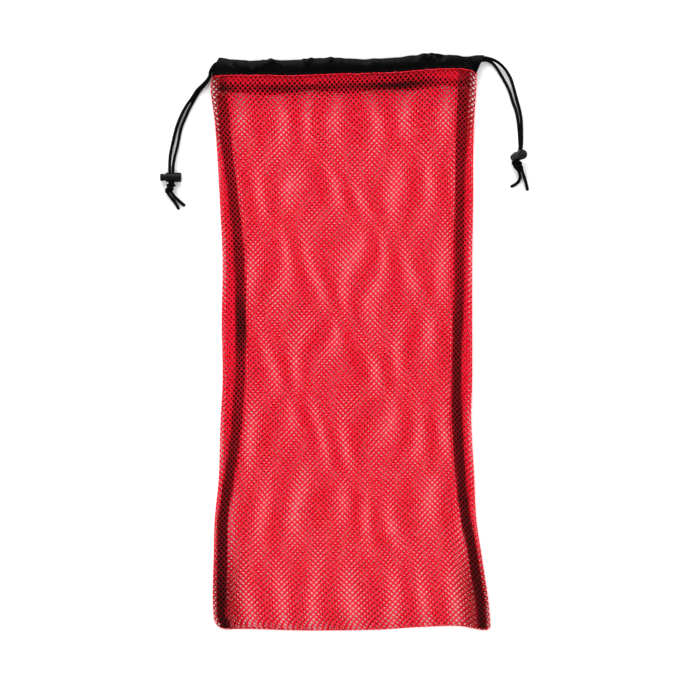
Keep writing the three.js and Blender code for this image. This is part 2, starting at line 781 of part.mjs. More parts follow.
addPiece(bag, 'net_body', netBody(), 'net');
for (const face of ['front', 'back']) {
  addPiece(bag, `casing_${face}`, casing(face), 'hem');
  addPiece(bag, `drawcord_${face}`, hiddenCord(face), 'cord');
}
for (const side of ['left', 'right']) {
  addPiece(bag, `seam_allowance_${side}`, seamAllowance(side), 'allowance');
  addPiece(bag, `side_binding_${side}`, sideBinding(side), 'tape');
  for (const face of ['front', 'back']) {
    addPiece(bag, `cord_${side}_${face}`, freeCord(side, face), 'cord');
    addPiece(bag, `tail_${side}_${face}`, tail(side, face), 'cord');
  }
  addPiece(bag, `knot_${side}`, knot(side), 'cord');
  const lock = new THREE.Group();
  lock.position.copy(locks[side].rim);
  lock.rotation.copy(lockTurn(locks[side]));
  addPiece(lock, `lock_barrel_${side}`, lockBarrel(), 'lock');
  addPiece(lock, `lock_plunger_${side}`, lockPlunger(), 'lock');
  bag.add(lock);
}

export default bag;
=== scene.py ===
import math
import random

import bpy
import numpy as np
from mathutils import Euler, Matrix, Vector
from mathutils.bvhtree import BVHTree


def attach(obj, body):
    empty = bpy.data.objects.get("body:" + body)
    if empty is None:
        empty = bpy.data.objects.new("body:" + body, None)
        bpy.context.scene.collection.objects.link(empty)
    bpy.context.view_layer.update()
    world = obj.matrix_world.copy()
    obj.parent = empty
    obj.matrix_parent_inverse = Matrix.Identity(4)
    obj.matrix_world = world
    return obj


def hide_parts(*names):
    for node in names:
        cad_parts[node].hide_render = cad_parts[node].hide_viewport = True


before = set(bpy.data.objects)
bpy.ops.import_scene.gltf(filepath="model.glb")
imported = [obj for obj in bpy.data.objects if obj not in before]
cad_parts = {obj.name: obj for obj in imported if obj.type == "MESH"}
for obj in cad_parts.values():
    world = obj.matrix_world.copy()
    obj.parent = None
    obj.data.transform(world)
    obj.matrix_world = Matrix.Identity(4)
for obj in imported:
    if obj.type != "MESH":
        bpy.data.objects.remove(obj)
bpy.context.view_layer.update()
bpy.ops.object.select_all(action="DESELECT")
mm = 0.001
tiny = 1e-12
print("frame loaded")

# Camera, straight above the bag as in the photograph (millimetres)
shot = {"centre": (-11.2, 2.9), "fieldWidth": 779, "height": 3000, "bagTop": 10, "sensor": 36}

bpy.ops.object.camera_add(
    location=(shot["centre"][0] * mm, shot["centre"][1] * mm, shot["height"] * mm), rotation=(0, 0, 0)
)
camera = bpy.context.object
camera.name = "camera"
camera.data.sensor_width = shot["sensor"]
camera.data.lens = shot["sensor"] * (shot["height"] - shot["bagTop"]) / shot["fieldWidth"]
camera.data.clip_start = 0.01
camera.data.clip_end = 50
bpy.context.scene.camera = camera
bpy.context.scene.view_settings.view_transform = "Standard"

# Size of the bag, millimetres, and its tables as shares of length and width
bag = {
    "length": 661, "width": 324, "casingHeight": 17, "mouthRise": 8, "casingDepth": 6, "leafGap": 1.1,
    "mouthEndGap": 0.6, "mouthGap": 5.6, "wall": 1.2, "sideFold": 6, "cornerLeft": 14, "cornerRight": 5,
    "slantLeft": 7.7, "slantRight": -9, "slantStartLeft": 0.3,
    "slantStartRight": 0, "facingDrop": 19, "facingInset": 8.5, "channelShare": 0.66,
}
seamLine = bag["length"] / 2 - bag["casingHeight"] - bag["mouthRise"]
bottomLine = -bag["length"] / 2
netLength = seamLine - bottomLine
mouthFold = 2 * bag["casingDepth"] + bag["mouthEndGap"] - 2 * bag["leafGap"]


def smoothTable(rows, column):
    at = np.array([row[0] for row in rows], float)
    value = np.array([row[column] for row in rows], float)
    slope = np.empty_like(value)
    slope[1:-1] = (value[2:] - value[:-2]) / (at[2:] - at[:-2])
    slope[0] = (value[1] - value[0]) / (at[1] - at[0])
    slope[-1] = (value[-1] - value[-2]) / (at[-1] - at[-2])

    def read(place):
        place = np.clip(place, at[0], at[-1])
        i = np.clip(np.searchsorted(at, place, side="right") - 1, 0, len(at) - 2)
        span = at[i + 1] - at[i]
        t = (place - at[i]) / span
        bend = t * t * (3 - 2 * t)
        slopes = slope[i] * t * (1 - t) ** 2 - slope[i + 1] * t * t * (1 - t)
        return value[i] + (value[i + 1] - value[i]) * bend + slopes * span

    return read


# place from the bottom fold to the mouth, left and right half width
outlineRows = [
    (0, 0.477, 0.4985), (0.056, 0.484, 0.489), (0.128, 0.481, 0.468), (0.2, 0.477, 0.447),
    (0.272, 0.463, 0.44), (0.379, 0.456, 0.429), (0.451, 0.449, 0.4326), (0.559, 0.452, 0.4326),
    (0.667, 0.449, 0.4326), (0.775, 0.459, 0.436), (0.847, 0.4665, 0.436), (0.919, 0.477, 0.44),
    (0.977, 0.491, 0.447), (1, 0.486, 0.4485), (1.02, 0.484, 0.45),
]
# place across, rise of the bottom fold
foldRows = [
    (-1, 0.0012), (-0.8, 0.0031), (-0.35, 0.0003), (0.2, 0.0017), (0.37, 0.0045), (0.55, 0.0069),
    (0.78, 0.0081), (0.93, 0.0017), (1, 0),
]
# place across, rise of the hem's seam, height of the hem
hemRows = [
    (-1, 0.04, 1.2), (-0.93, 0.06, 1.2), (-0.86, 0.08, 1.06), (-0.67, 0.08, 0.99), (-0.42, 0, 1.04),
    (-0.16, 0.18, 1.12), (-0.03, 0.25, 1.04), (0.14, 0.31, 0.96), (0.4, 0.5, 1), (0.49, 0.66, 1.06),
    (0.69, 0.96, 1), (0.83, 1, 0.91), (0.91, 1, 0.82), (1, 0.45, 1.19),
]
leftWidth, rightWidth = smoothTable(outlineRows, 1), smoothTable(outlineRows, 2)
foldRise = smoothTable(foldRows, 1)
seamRise, hemShare = smoothTable(hemRows, 1), smoothTable(hemRows, 2)


def sideEdge(side, distance):
    width = (leftWidth if side == "Left" else rightWidth)(distance / netLength) * bag["width"]
    radius = bag["corner" + side]
    short = np.clip(radius - distance, 0, radius)
    return width - (radius - np.sqrt(radius * radius - short * short))


def acrossAt(x, distance):
    return np.where(x < 0, x / sideEdge("Left", distance), x / sideEdge("Right", distance))


def seamY(across):
    return seamLine + seamRise(across) * bag["mouthRise"]


def placeY(across, distance):
    fold = bottomLine + foldRise(across) * bag["length"]
    return fold + (seamY(across) - fold) * distance / netLength


def hemTop(x):
    edge = np.where(x < 0, sideEdge("Left", netLength), sideEdge("Right", netLength)) - mouthFold / 2
    arch = 1 - np.minimum(np.abs(x) / edge, 1) ** 4
    return 2 * bag["casingDepth"] + bag["mouthEndGap"] + bag["mouthGap"] * arch


def ramp(value, low, high):
    t = np.clip((value - low) / (high - low), 0, 1)
    return t * t * (3 - 2 * t)


def unit(vectors):
    vectors = np.asarray(vectors, float)
    return vectors / (np.linalg.norm(vectors, axis=-1, keepdims=True) + tiny)


# Shader groups that several finishes share
def newGroup(name, inputs, outputs):
    group = bpy.data.node_groups.new(name, "ShaderNodeTree")
    for label, (kind, value) in inputs.items():
        socket = group.interface.new_socket(label, in_out="INPUT", socket_type="NodeSocket" + kind)
        if value is not None:
            socket.default_value = value
    for label, kind in outputs.items():
        group.interface.new_socket(label, in_out="OUTPUT", socket_type="NodeSocket" + kind)
    return group, group.nodes.new("NodeGroupInput").outputs, group.nodes.new("NodeGroupOutput")


def setInputs(tree, node, values):
    for socket, value in values.items():
        if isinstance(value, bpy.types.NodeSocket):
            tree.links.new(value, node.inputs[socket])
        else:
            node.inputs[socket].default_value = value


def addNode(tree, kind, values=(), **settings):
    node = tree.nodes.new("ShaderNode" + kind)
    for name, setting in settings.items():
        setattr(node, name, setting)
    setInputs(tree, node, dict(values))
    return node


def mathNode(tree, kind, *values):
    return addNode(tree, "Math", enumerate(values), operation=kind).outputs[0]


def mixed(tree, factor, first, second):
    values = {"Factor": factor, "A": first, "B": second}
    return addNode(tree, "Mix", values, data_type="RGBA").outputs["Result"]


def weaveGroup():
    group, given, made = newGroup(
        "cloth weave",
        {"Place": ("Vector", None), "Pitch": ("Float", 0.0005), "Stretch": ("Float", 1.0)},
        {"Height": "Float", "Gaps": "Float"},
    )
    place = addNode(group, "SeparateXYZ", {0: given["Place"]}).outputs
    turn = mathNode(group, "DIVIDE", math.pi, given["Pitch"])
    turns = (turn, mathNode(group, "DIVIDE", turn, given["Stretch"]))
    across, along = (mathNode(group, "SINE", mathNode(group, "MULTIPLY", place[k], turns[k])) for k in (0, 1))
    product = mathNode(group, "MULTIPLY", across, along)
    height = mathNode(group, "MULTIPLY_ADD", product, 0.5, 0.5)
    gaps = mathNode(group, "SUBTRACT", 1.0, mathNode(group, "ABSOLUTE", product))
    setInputs(group, made, {"Height": height, "Gaps": gaps})
    return group


def mottleGroup():
    group, given, made = newGroup(
        "mottle",
        {"Colour": ("Color", None), "Other": ("Color", None), "Scale": ("Float", 40.0), "Fine": ("Float", 900.0)},
        {"Colour": "Color", "Fibre": "Float"},
    )
    place = addNode(group, "TexCoord").outputs["Object"]
    patch, fibre = (
        addNode(group, "TexNoise", {"Vector": place, "Scale": given[scale], "Detail": detail}).outputs["Fac"]
        for scale, detail in (("Scale", 3), ("Fine", 2))
    )
    blend = mathNode(group, "MULTIPLY_ADD", fibre, 0.5, mathNode(group, "MULTIPLY", patch, 0.5))
    spread = addNode(group, "MapRange", {"Value": blend, "From Min": 0.35, "From Max": 0.65}).outputs["Result"]
    setInputs(group, made, {"Colour": mixed(group, spread, given["Colour"], given["Other"]), "Fibre": fibre})
    return group


weave = weaveGroup()
mottle = mottleGroup()


def finish(name, look):
    material = bpy.data.materials.new(name)
    material.use_nodes = True
    material.diffuse_color = (*look["colour"], 1)
    tree = material.node_tree
    tones = {"Colour": (*look["colour"], 1), "Other": (*look["other"], 1)}
    tint = addNode(tree, "Group", {**tones, "Scale": look["patches"], "Fine": look["fibres"]}, node_tree=mottle).outputs
    colour, roughness, height = tint["Colour"], look["roughness"], tint["Fibre"]
    # painted shade: the shade attribute mixes the finish's shaded colour into its own colour
    if "shaded" in look:
        shade = addNode(tree, "Attribute", attribute_name="shade").outputs["Fac"]
        colour = mixed(tree, shade, colour, (*look["shaded"], 1))
    if "pitch" in look:
        place = addNode(tree, "UVMap", uv_map="cloth").outputs["UV"]
        values = {"Place": place, "Pitch": look["pitch"], "Stretch": look.get("stretch", 1)}
        cloth = addNode(tree, "Group", values, node_tree=weave).outputs
        roughness = mathNode(tree, "MULTIPLY_ADD", cloth["Gaps"], 0.2, roughness - 0.1)
        height = mathNode(tree, "MULTIPLY_ADD", height, 0.3, cloth["Height"])
    bump = addNode(tree, "Bump", {"Strength": look["bump"], "Distance": look["relief"], "Height": height})
    setInputs(tree, tree.nodes["Principled BSDF"], {
        "Base Color": colour, "Roughness": roughness, "Normal": bump.outputs["Normal"],
        "Specular IOR Level": look["specular"], "Subsurface Weight": look.get("depth", 0),
        "Subsurface Scale": look.get("reach", 0.001), "Subsurface Radius": (1, 0.02, 0.04),
    })
    return material


# depth and reach are how much light scatters in the yarn, and how far in metres; shaded is the net yarn's painted shade
# colour
finishes = {
    "net yarn": {"colour": (0.95, 0.005, 0.026), "other": (0.86, 0.003, 0.019), "roughness": 0.6, "specular": 0.06,
                 "shaded": (0.015, 0.0002, 0.0004), "depth": 0.7, "reach": 0.006, "patches": 30, "fibres": 1600,
                 "bump": 0.4, "relief": 0.0002},
    "welt yarn": {"colour": (0.85, 0.02, 0.04), "other": (0.5, 0.006, 0.012), "roughness": 0.6, "specular": 0.08,
                  "depth": 1.0, "reach": 0.003, "patches": 60, "fibres": 1800, "bump": 0.5, "relief": 0.0003},
    "hem nylon": {"colour": (0.0004, 0.0004, 0.0005), "other": (0.001, 0.001, 0.0012), "roughness": 0.3,
                  "specular": 0.032, "patches": 60, "fibres": 2200, "pitch": 0.00042, "bump": 0.15, "relief": 0.00003},
    "binding tape": {"colour": (0.0012, 0.0008, 0.001), "other": (0.0035, 0.0024, 0.0028), "roughness": 0.8,
                     "specular": 0.04, "patches": 80, "fibres": 2000, "pitch": 0.0007, "stretch": 1.6,
                     "bump": 0.4, "relief": 0.00015},
    "braided cord": {"colour": (0.0008, 0.0008, 0.001), "other": (0.0022, 0.0022, 0.0026), "roughness": 0.65,
                     "specular": 0.015, "patches": 200, "fibres": 2600, "bump": 0.4, "relief": 0.00015},
    "moulded plastic": {"colour": (0.0012, 0.0012, 0.0013), "other": (0.0024, 0.0024, 0.0026), "roughness": 0.4,
                        "specular": 0.08, "patches": 120, "fibres": 1500, "bump": 0.1, "relief": 0.00005},
    "black thread": {"colour": (0.0015, 0.0015, 0.0017), "other": (0.004, 0.004, 0.0044), "roughness": 0.6,
                     "specular": 0.06, "patches": 300, "fibres": 3000, "bump": 0.4, "relief": 0.0001},
}
materials = {name: finish(name, look) for name, look in finishes.items()}
print("finishes made")


def meshPiece(name, points, faces, material, slotName, uv=None):
    mesh = bpy.data.meshes.new(name)
    mesh.from_pydata((np.asarray(points) * mm).tolist(), [], faces)
    mesh.update()
    mesh.shade_smooth()
    mesh.materials.append(materials[material])
    if uv is not None:
        layer = mesh.uv_layers.new(name="cloth")
        corners = np.empty(len(mesh.loops), int)
        mesh.loops.foreach_get("vertex_index", corners)
        layer.data.foreach_set("uv", (np.asarray(uv)[corners] * mm).ravel())
    piece = bpy.data.objects.new(name, mesh)
    bpy.context.collection.objects.link(piece)
    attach(piece, "bag")
    return piece


def chooseOnly(piece):
    bpy.ops.object.select_all(action="DESELECT")
    bpy.context.view_layer.objects.active = piece
    piece.select_set(True)


def applied(piece, kind, **values):
    chooseOnly(piece)
    modifier = piece.modifiers.new(kind.title(), kind)
    for key, value in values.items():
        setattr(modifier, key, value)
    bpy.ops.object.modifier_apply(modifier=modifier.name)
    piece.select_set(False)


def gridFaces(rows, columns):
    start = (np.arange(rows - 1)[:, None] * columns + np.arange(columns - 1)[None, :]).ravel()
    return np.stack([start, start + 1, start + columns + 1, start + columns], 1).tolist()


# The net's form, read from the solid through rays and smoothed on a grid
netForm = {"across": 128, "along": 240, "smoothing": 3, "edgeStep": 1.0, "rayStart": 0.2, "ripple": 0.35}


def netPlan(u, v):
    distance = np.asarray(v) * netLength
    left, right = -sideEdge("Left", distance), sideEdge("Right", distance)
    x = left + (right - left) * u
    across = acrossAt(x, np.maximum(distance, bag["sideFold"]))
    return x, placeY(across, distance)


def netHeights():
    solid = bpy.data.objects["net_body"]
    corners = [vertex.co for vertex in solid.data.vertices]
    tree = BVHTree.FromPolygons(corners, [tuple(face.vertices) for face in solid.data.polygons])
    us = np.linspace(0, 1, netForm["across"] + 1)
    vs = np.linspace(0, 1, netForm["along"] + 1)
    u, v = np.meshgrid(us, vs)
    x, y = netPlan(u, v)
    step = netForm["edgeStep"]
    distance = v * netLength
    xIn = np.clip(x, -sideEdge("Left", distance) + step, sideEdge("Right", distance) - step)
    yIn = np.maximum(y, y[0] + step)
    top, low = np.empty(x.shape), np.empty(x.shape)
    for i in np.ndindex(x.shape):
        for heights, way in ((top, -1), (low, 1)):
            start = Vector((xIn[i] * mm, yIn[i] * mm, -way * netForm["rayStart"]))
            hit = tree.ray_cast(start, Vector((0, 0, way)))[0]
            heights[i] = hit.z / mm if hit else np.nan
    for heights in (top, low):
        for row in heights:
            good = ~np.isnan(row)
            row[:] = np.interp(us, us[good], row[good])
    middle = (top + low) / 2
    half = bag["wall"] / 2
    front, back = top - half, low + half
    for heights in (front, back):
        for _ in range(netForm["smoothing"]):
            inner = heights[2:-2, 2:-2]
            around = heights[1:-3, 2:-2] + heights[3:-1, 2:-2] + heights[2:-2, 1:-3] + heights[2:-2, 3:-1]
            inner[:] = inner / 2 + around / 8
        heights[:, 0], heights[:, -1], heights[0] = middle[:, 0], middle[:, -1], middle[0]
    return {"front": front, "back": back}


heightGrids = netHeights()
print("net form read")


def gridHeight(face, u, v):
    heights = heightGrids[face]
    gu = np.clip(u, 0, 1) * netForm["across"]
    gv = np.clip(v, 0, 1) * netForm["along"]
    i = np.minimum(gu.astype(int), netForm["across"] - 1)
    j = np.minimum(gv.astype(int), netForm["along"] - 1)
    fu, fv = gu - i, gv - j
    low = heights[j, i] * (1 - fu) + heights[j, i + 1] * fu
    high = heights[j + 1, i] * (1 - fu) + heights[j + 1, i + 1] * fu
    return low * (1 - fv) + high * fv


waveCount, waveAcross, waveAlong, waveSize = 7, (-3, 3), (-5, 5), (0.5, 1)


def slowWaves(u, v, seed):
    draw = random.Random(seed)
    total = np.zeros(np.shape(u))
    for _ in range(waveCount):
        fu, fv = draw.uniform(*waveAcross), draw.uniform(*waveAlong)
        total += np.sin(2 * math.pi * (fu * u + fv * v + draw.random())) * draw.uniform(*waveSize)
    return total / math.sqrt(waveCount)


# How the yarns stray from straight rows
stray = {"width": 300, "along": 0.4, "ripples": 3, "rippleSeed": 21}


def netPoint(face, u, v, warp, seed):
    fromSides = 4 * u * (1 - u)
    inner = fromSides * np.minimum(4 * v, 1) * np.minimum(4 * (1 - v), 1)
    shiftU = u + fromSides * warp * slowWaves(u, v, seed) / stray["width"]
    shiftV = v + inner * warp * stray["along"] * slowWaves(u, v, seed + 1) / netLength
    x, y = netPlan(shiftU, shiftV)
    z = gridHeight(face, shiftU, shiftV)
    if face == "front":
        z = z + netForm["ripple"] * inner * slowWaves(stray["ripples"] * u, stray["ripples"] * v, stray["rippleSeed"])
    return np.stack([x, y, z], -1)


# painted shade as top, sides and below, for the six corners at a knot: the yarn is painted darker where less light
# falls
def cornerShades(top, sides, low):
    return np.array([top, low] + [sides] * 4)


# painted shade of the yarn where it lies over black cloth, as top, sides and below
coveredShade = cornerShades(0.95, 1.06, 1)


# A net of diamond meshes: six corners at each knot, four faces to each strand
def latticeNet(name, plan, surface, keep=None, below=None):
    columns, halfRows = plan["columns"], plan["halfRows"]
    rows = np.arange(halfRows + 1)
    row = np.repeat(rows, columns + 1)
    column = np.tile(np.arange(columns + 1), halfRows + 1)
    odd = row % 2
    alive = ~((odd == 1) & (column == columns))
    u = (column + odd / 2) / columns
    u = np.where(alive, u, 1.0)
    v = row / halfRows
    if "from" in plan:
        v = plan["from"] + v * (plan["to"] - plan["from"])
    centre = surface(u, v)
    if keep is not None:
        alive &= keep(centre)
    small = 1e-3
    alongU = unit(surface(np.minimum(u + small, 1), v) - surface(np.maximum(u - small, 0), v))
    alongV = unit(surface(u, np.minimum(v + small, 1)) - surface(u, np.maximum(v - small, 0)))
    normal = unit(np.cross(alongU, alongV))
    draw = np.random.default_rng(plan["seed"])
    wide = plan["reach"] * draw.uniform(0.9, 1.12, (len(u), 1))
    thick = plan["thick"] * draw.uniform(0.85, 1.15, (len(u), 1))
    corners = np.stack([
        centre + normal * thick, centre - normal * thick, centre + alongV * wide,
        centre + alongU * wide, centre - alongV * wide, centre - alongU * wide,
    ], 1)
    top, low, north, east, south, west = range(6)
    node = np.arange(len(u))
    wideRow = columns + 1
    strands, ends = [], {way: np.zeros(len(u), bool) for way in ("NE", "NW", "SE", "SW")}
    for way, step, ring, farRing in (
        ("NE", odd, (top, east, low, north), (top, south, low, west)),
        ("NW", odd - 1, (top, south, low, east), (top, west, low, north)),
    ):
        target = node + wideRow + step
        goes = alive & (row < halfRows) & (column + step >= 0) & (column + step <= columns)
        goes &= alive[np.clip(target, 0, len(u) - 1)]
        near, far = node[goes] * 6, target[goes] * 6
        if way == "NW":
            near, far = far, near
        for k, after in ((0, 1), (1, 2), (2, 3), (3, 0)):
            strand = [near + ring[k], near + ring[after], far + farRing[after], far + farRing[k]]
            strands.append(np.stack(strand, 1))
        ends[way][node[goes]] = True
        ends["SW" if way == "NE" else "SE"][target[goes]] = True
    caps = []
    tied = np.any(list(ends.values()), axis=0)
    for way, first, second in (("NE", east, north), ("NW", north, west), ("SW", west, south), ("SE", south, east)):
        bare = node[alive & tied & ~ends[way]] * 6
        caps += [np.stack([bare + top, bare + first, bare + second], 1),
                 np.stack([bare + low, bare + second, bare + first], 1)]
    used = np.repeat(alive & tied, 6)
    number = np.cumsum(used) - 1
    faces = [face for side in strands for face in number[side].tolist()]
    faces += [face for cap in caps for face in number[cap].tolist()]
    piece = meshPiece(name, corners.reshape(-1, 3)[used], faces, "net yarn", "net")
    # the painted shade is stored on the mesh as the shade attribute
    shade = np.tile(cornerShades(*plan["shade"]), (len(u), 1))
    if below is not None:
        hidden = below(centre)[:, None]
        shade = np.clip(shade + (coveredShade * hidden - shade * hidden), 0, 1)
    mask = piece.data.attributes.new("shade", "FLOAT", "POINT")
    mask.data.foreach_set("value", shade.ravel()[used].astype(np.float32))
    return piece


def arcLengths(points):
    steps = np.linalg.norm(np.diff(points, axis=0), axis=1)
    return np.concatenate([[0], np.cumsum(steps)])


def steadyPath(points, step):
    length = arcLengths(points)
    count = max(int(length[-1] / step), 2)
    places = np.linspace(0, length[-1], count + 1)
    return np.stack([np.interp(places, length, points[:, k]) for k in range(3)], 1)


def sweptTube(path, radius, sides, relief=None, taper=None):
    ahead = unit(np.gradient(path, axis=0))
    side = np.cross(ahead[0], (0, 0, 1.0))
    if np.linalg.norm(side) < 0.1:
        side = np.cross(ahead[0], (0, 1.0, 0))
    sideways = []
    for tangent in ahead:
        side = unit(side - tangent * (side @ tangent))
        sideways.append(side)
    sideways = np.array(sideways)
    upward = np.cross(sideways, ahead)
    turn = np.arange(sides) * 2 * math.pi / sides
    reach = np.full((len(path), sides), float(radius))
    if relief is not None:
        reach *= relief(turn[None, :], arcLengths(path)[:, None])
    if taper is not None:
        reach *= taper[:, None]
    rings = path[:, None] + reach[..., None] * (
        sideways[:, None] * np.cos(turn)[None, :, None] + upward[:, None] * np.sin(turn)[None, :, None]
    )
    dome = 0.2 * radius
    corners = np.vstack([rings.reshape(-1, 3), path[:1] - ahead[:1] * dome, path[-1:] + ahead[-1:] * dome])
    rows, columns = np.meshgrid(np.arange(len(path) - 1), np.arange(sides), indexing="ij")
    a = rows * sides + columns
    b = rows * sides + (columns + 1) % sides
    faces = np.stack([b, a, a + sides, b + sides], -1).reshape(-1, 4)
    flip = np.linalg.det(np.stack([sideways[0], upward[0], ahead[0]])) < 0
    faces = faces.tolist() if not flip else faces[:, ::-1].tolist()
    first, last = len(path) * sides, len(path) * sides + 1
    for k in range(sides):
        after = (k + 1) % sides
        start = (first, k, after)
        end = (last, (len(path) - 1) * sides + after, (len(path) - 1) * sides + k)
        faces += [start, end] if not flip else [start[::-1], end[::-1]]
    return corners, faces


# Strips inside the side seams, read from their solids: place along the bag, inner and outer edge, lowest height
def stripRows(node):
    corners = np.array([vertex.co for vertex in bpy.data.objects[node].data.vertices]) / mm
    ringDepth, ringGap, ringCorners = 0.12, 1, 4
    rows = []
    for y in np.unique(np.round(corners[:, 1], 1)):
        ring = corners[np.abs(corners[:, 1] - y) < ringDepth]
        if len(ring) >= ringCorners and (not rows or y - rows[-1][0] > ringGap):
            reach = np.abs(ring[:, 0])
            rows.append((y, reach.min(), reach.max(), ring[:, 2].min()))
    return rows


# shade: how much painted shade the yarn has on top, at its sides and below; the back net's top is painted as if in the
# front net's shadow
frontNet = {"columns": 54, "halfRows": 204, "reach": 1.1, "thick": 0.45, "warp": 1.6, "warpSeed": 31, "seed": 11,
            "shade": (0, 0.48, 0.6)}
backNet = {"columns": 46, "halfRows": 210, "reach": 1.1, "thick": 0.4, "warp": 1.6, "warpSeed": 47, "seed": 12,
           "shade": (0.84, 0.8, 0)}
# Painted shade on the front net where it lies over the black cloth: the tape strips, and the facing under the hem
paintedShadeRows = {
    # place from the bottom fold
    "Left": [(0, 1.02), (0.07, 1), (0.2, 0.92), (0.33, 0.86), (0.42, 0.72), (0.47, 0.72), (0.55, 1), (0.62, 0.85),
             (0.8, 0.75), (0.92, 0.75), (1, 0.85)],
    "Right": [(0, 1.02), (0.07, 1), (0.2, 0.97), (0.4, 0.93), (0.55, 0.9), (0.63, 0.78), (0.9, 0.77), (1, 0.87)],
    # place across the band
    "band": [(-1, 1.15), (-0.9, 1), (-0.78, 0.66), (-0.55, 0.85), (-0.3, 0.78), (0.05, 0.82), (0.22, 0.97),
             (0.45, 1.04), (0.6, 0.86), (0.72, 0.6), (0.88, 0.66), (0.95, 0.9), (1, 1.1)],
    # depth below the seam
    "depth": [(0, 0.55), (4, 0.66), (8.5, 0.45), (11, 0.78), (14, 1), (17, 0.98), (20, 0.7), (24, 0.25), (28, 0)],
}
# flare widens the painted shade over the strips outwards near the mouth, and bandEnd is where across the band ends
covered = {"flare": 9, "flareFrom": (0.84, 0.95), "innerFade": (-1.5, 1), "outerFade": (-1, 1.5), "bandEnd": 0.97}
# Painted shade in the bottom corners, where both nets are painted darker: share, then from where across, and how far up
cornerShadeZone = {"share": 0.7, "across": (0.7, 0.9), "up": (-0.2, -0.06), "leastUp": 20}


# Painted shade on the front net over the black strips and facing, and in the bottom corners
def paintedShadeOverBlack(points):
    x, y = points[:, 0], points[:, 1]
    across = acrossAt(x, netLength)
    below = seamY(across) - y
    dark = smoothTable(paintedShadeRows["depth"], 1)(below) * smoothTable(paintedShadeRows["band"], 1)(across)
    dark = np.where(np.abs(across) < covered["bandEnd"], dark, 0)
    for side, sign in (("Left", -1), ("Right", 1)):
        rows = stripRows("side_binding_" + side.lower())
        inner, outer = smoothTable(rows, 1)(y), smoothTable(rows, 2)(y)
        reach, up = x * sign, (y - bottomLine) / netLength
        outer = outer + covered["flare"] * ramp(up, *covered["flareFrom"])
        (innerLow, innerHigh), (outerLow, outerHigh) = covered["innerFade"], covered["outerFade"]
        strip = ramp(reach, inner + innerLow, inner + innerHigh)
        strip = strip * (1 - ramp(reach, outer + outerLow, outer + outerHigh))
        dark = np.maximum(dark, strip * smoothTable(paintedShadeRows[side], 1)(up))
    return np.maximum(dark, paintedCornerShade(points))


# Painted shade in the bottom corners of both nets
def paintedCornerShade(points):
    x, y = points[:, 0], points[:, 1]
    up = (y - bottomLine) / netLength
    reach = np.abs(acrossAt(x, np.clip(y - bottomLine, cornerShadeZone["leastUp"], netLength)))
    return cornerShadeZone["share"] * ramp(reach, *cornerShadeZone["across"]) * ramp(-up, *cornerShadeZone["up"])


def panelSurface(face, plan):
    return lambda u, v: netPoint(face, u, v, plan["warp"], plan["warpSeed"])


netFront = latticeNet("netFront", frontNet, panelSurface("front", frontNet), below=paintedShadeOverBlack)
latticeNet("netBack", backNet, panelSurface("back", backNet), below=paintedCornerShade)
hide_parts("net_body")
edgeThread = {"radius": 0.45, "sides": 8, "step": 2.0, "pointsUp": 300, "pointsOver": 150}
up, over = np.linspace(0, 1, edgeThread["pointsUp"]), np.linspace(0, 1, edgeThread["pointsOver"])
line = [(0 * up, up[::-1]), (over, 0 * over), (0 * up + 1, up)]
u, v = (np.concatenate([part[k] for part in line]) for k in (0, 1))
x, y = netPlan(u, v)
path = steadyPath(np.stack([x, y, gridHeight("front", u, v)], 1), edgeThread["step"])
meshPiece("netEdge", *sweptTube(path, edgeThread["radius"], edgeThread["sides"]), "net yarn", "net")
print("nets laid")

# Net turned in at the side seams: beyond is how far it passes its strip's outer edge
seamNet = {
    "beyond": 1.2, "warp": 2.0, "riseFrom": (0.92, 0.955),
    "layers": {
        # each layer's shade is painted shade, as on the main nets
        "Lower": {"columns": 47, "halfRows": 210, "reach": 1.0, "thick": 0.25, "seed": 21, "warpSeed": 61,
                  "lift": 2.5, "shade": (0.2, 0.3, 0.2)},
        "Upper": {"columns": 51, "halfRows": 204, "reach": 1.0, "thick": 0.25, "seed": 22, "warpSeed": 67,
                  "lift": 3.1, "shade": (0.1, 0.2, 0.2)},
    },
}


def keepStrip(rows, sign):
    inner, outer = smoothTable(rows, 1), smoothTable(rows, 2)

    def keep(points):
        reach, y = points[:, 0] * sign, points[:, 1]
        return (reach > inner(y)) & (reach < outer(y) + seamNet["beyond"]) & (y > rows[0][0]) & (y < rows[-1][0])

    return keep


def stripSurface(plan):
    def surface(u, v):
        point = netPoint("back", u, v, seamNet["warp"], plan["warpSeed"])
        point[..., 2] = plan["lift"] + bag["leafGap"] * ramp(v, *seamNet["riseFrom"])
        return point

    return surface


for side, sign in (("Left", -1), ("Right", 1)):
    rows = stripRows("seam_allowance_" + side.lower())
    for layer, plan in seamNet["layers"].items():
        piece = latticeNet(f"seamNet{side}{layer}", plan, stripSurface(plan), keep=keepStrip(rows, sign))
        if layer == "Lower":
            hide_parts("seam_allowance_" + side.lower())
print("seam nets laid")

# Black tape folded over each seam edge, with its stitching
tape = {
    "cloth": 0.45, "step": 1.5, "ripple": 0.22, "waver": 0.35, "runsOn": 3.5, "underNet": 0.95, "lowest": 1.4,
    "halfWidth": 6, "upperLeaf": 1.1, "top": 2.2, "waves": (4, 14),
    # how far outwards from the middle, height
    "section": [(6, 0.3), (3, 0.25), (0, 0.25), (-3, 0.25), (-4.8, 0.3), (-5.5, 0.55), (-5.75, 1.15),
                (-5.5, 1.75), (-4.8, 2.1), (-3, 2.2), (0, 2.2), (3, 2.15), (6, 2.05)],
}
# Shares of the thread's thickness: how high a stitch arches over the cloth, and its radius inside and at its ends
stitch = {"sides": 6, "rise": 0.45, "arch": 3.2, "radius": 0.5, "endRadius": 0.34}


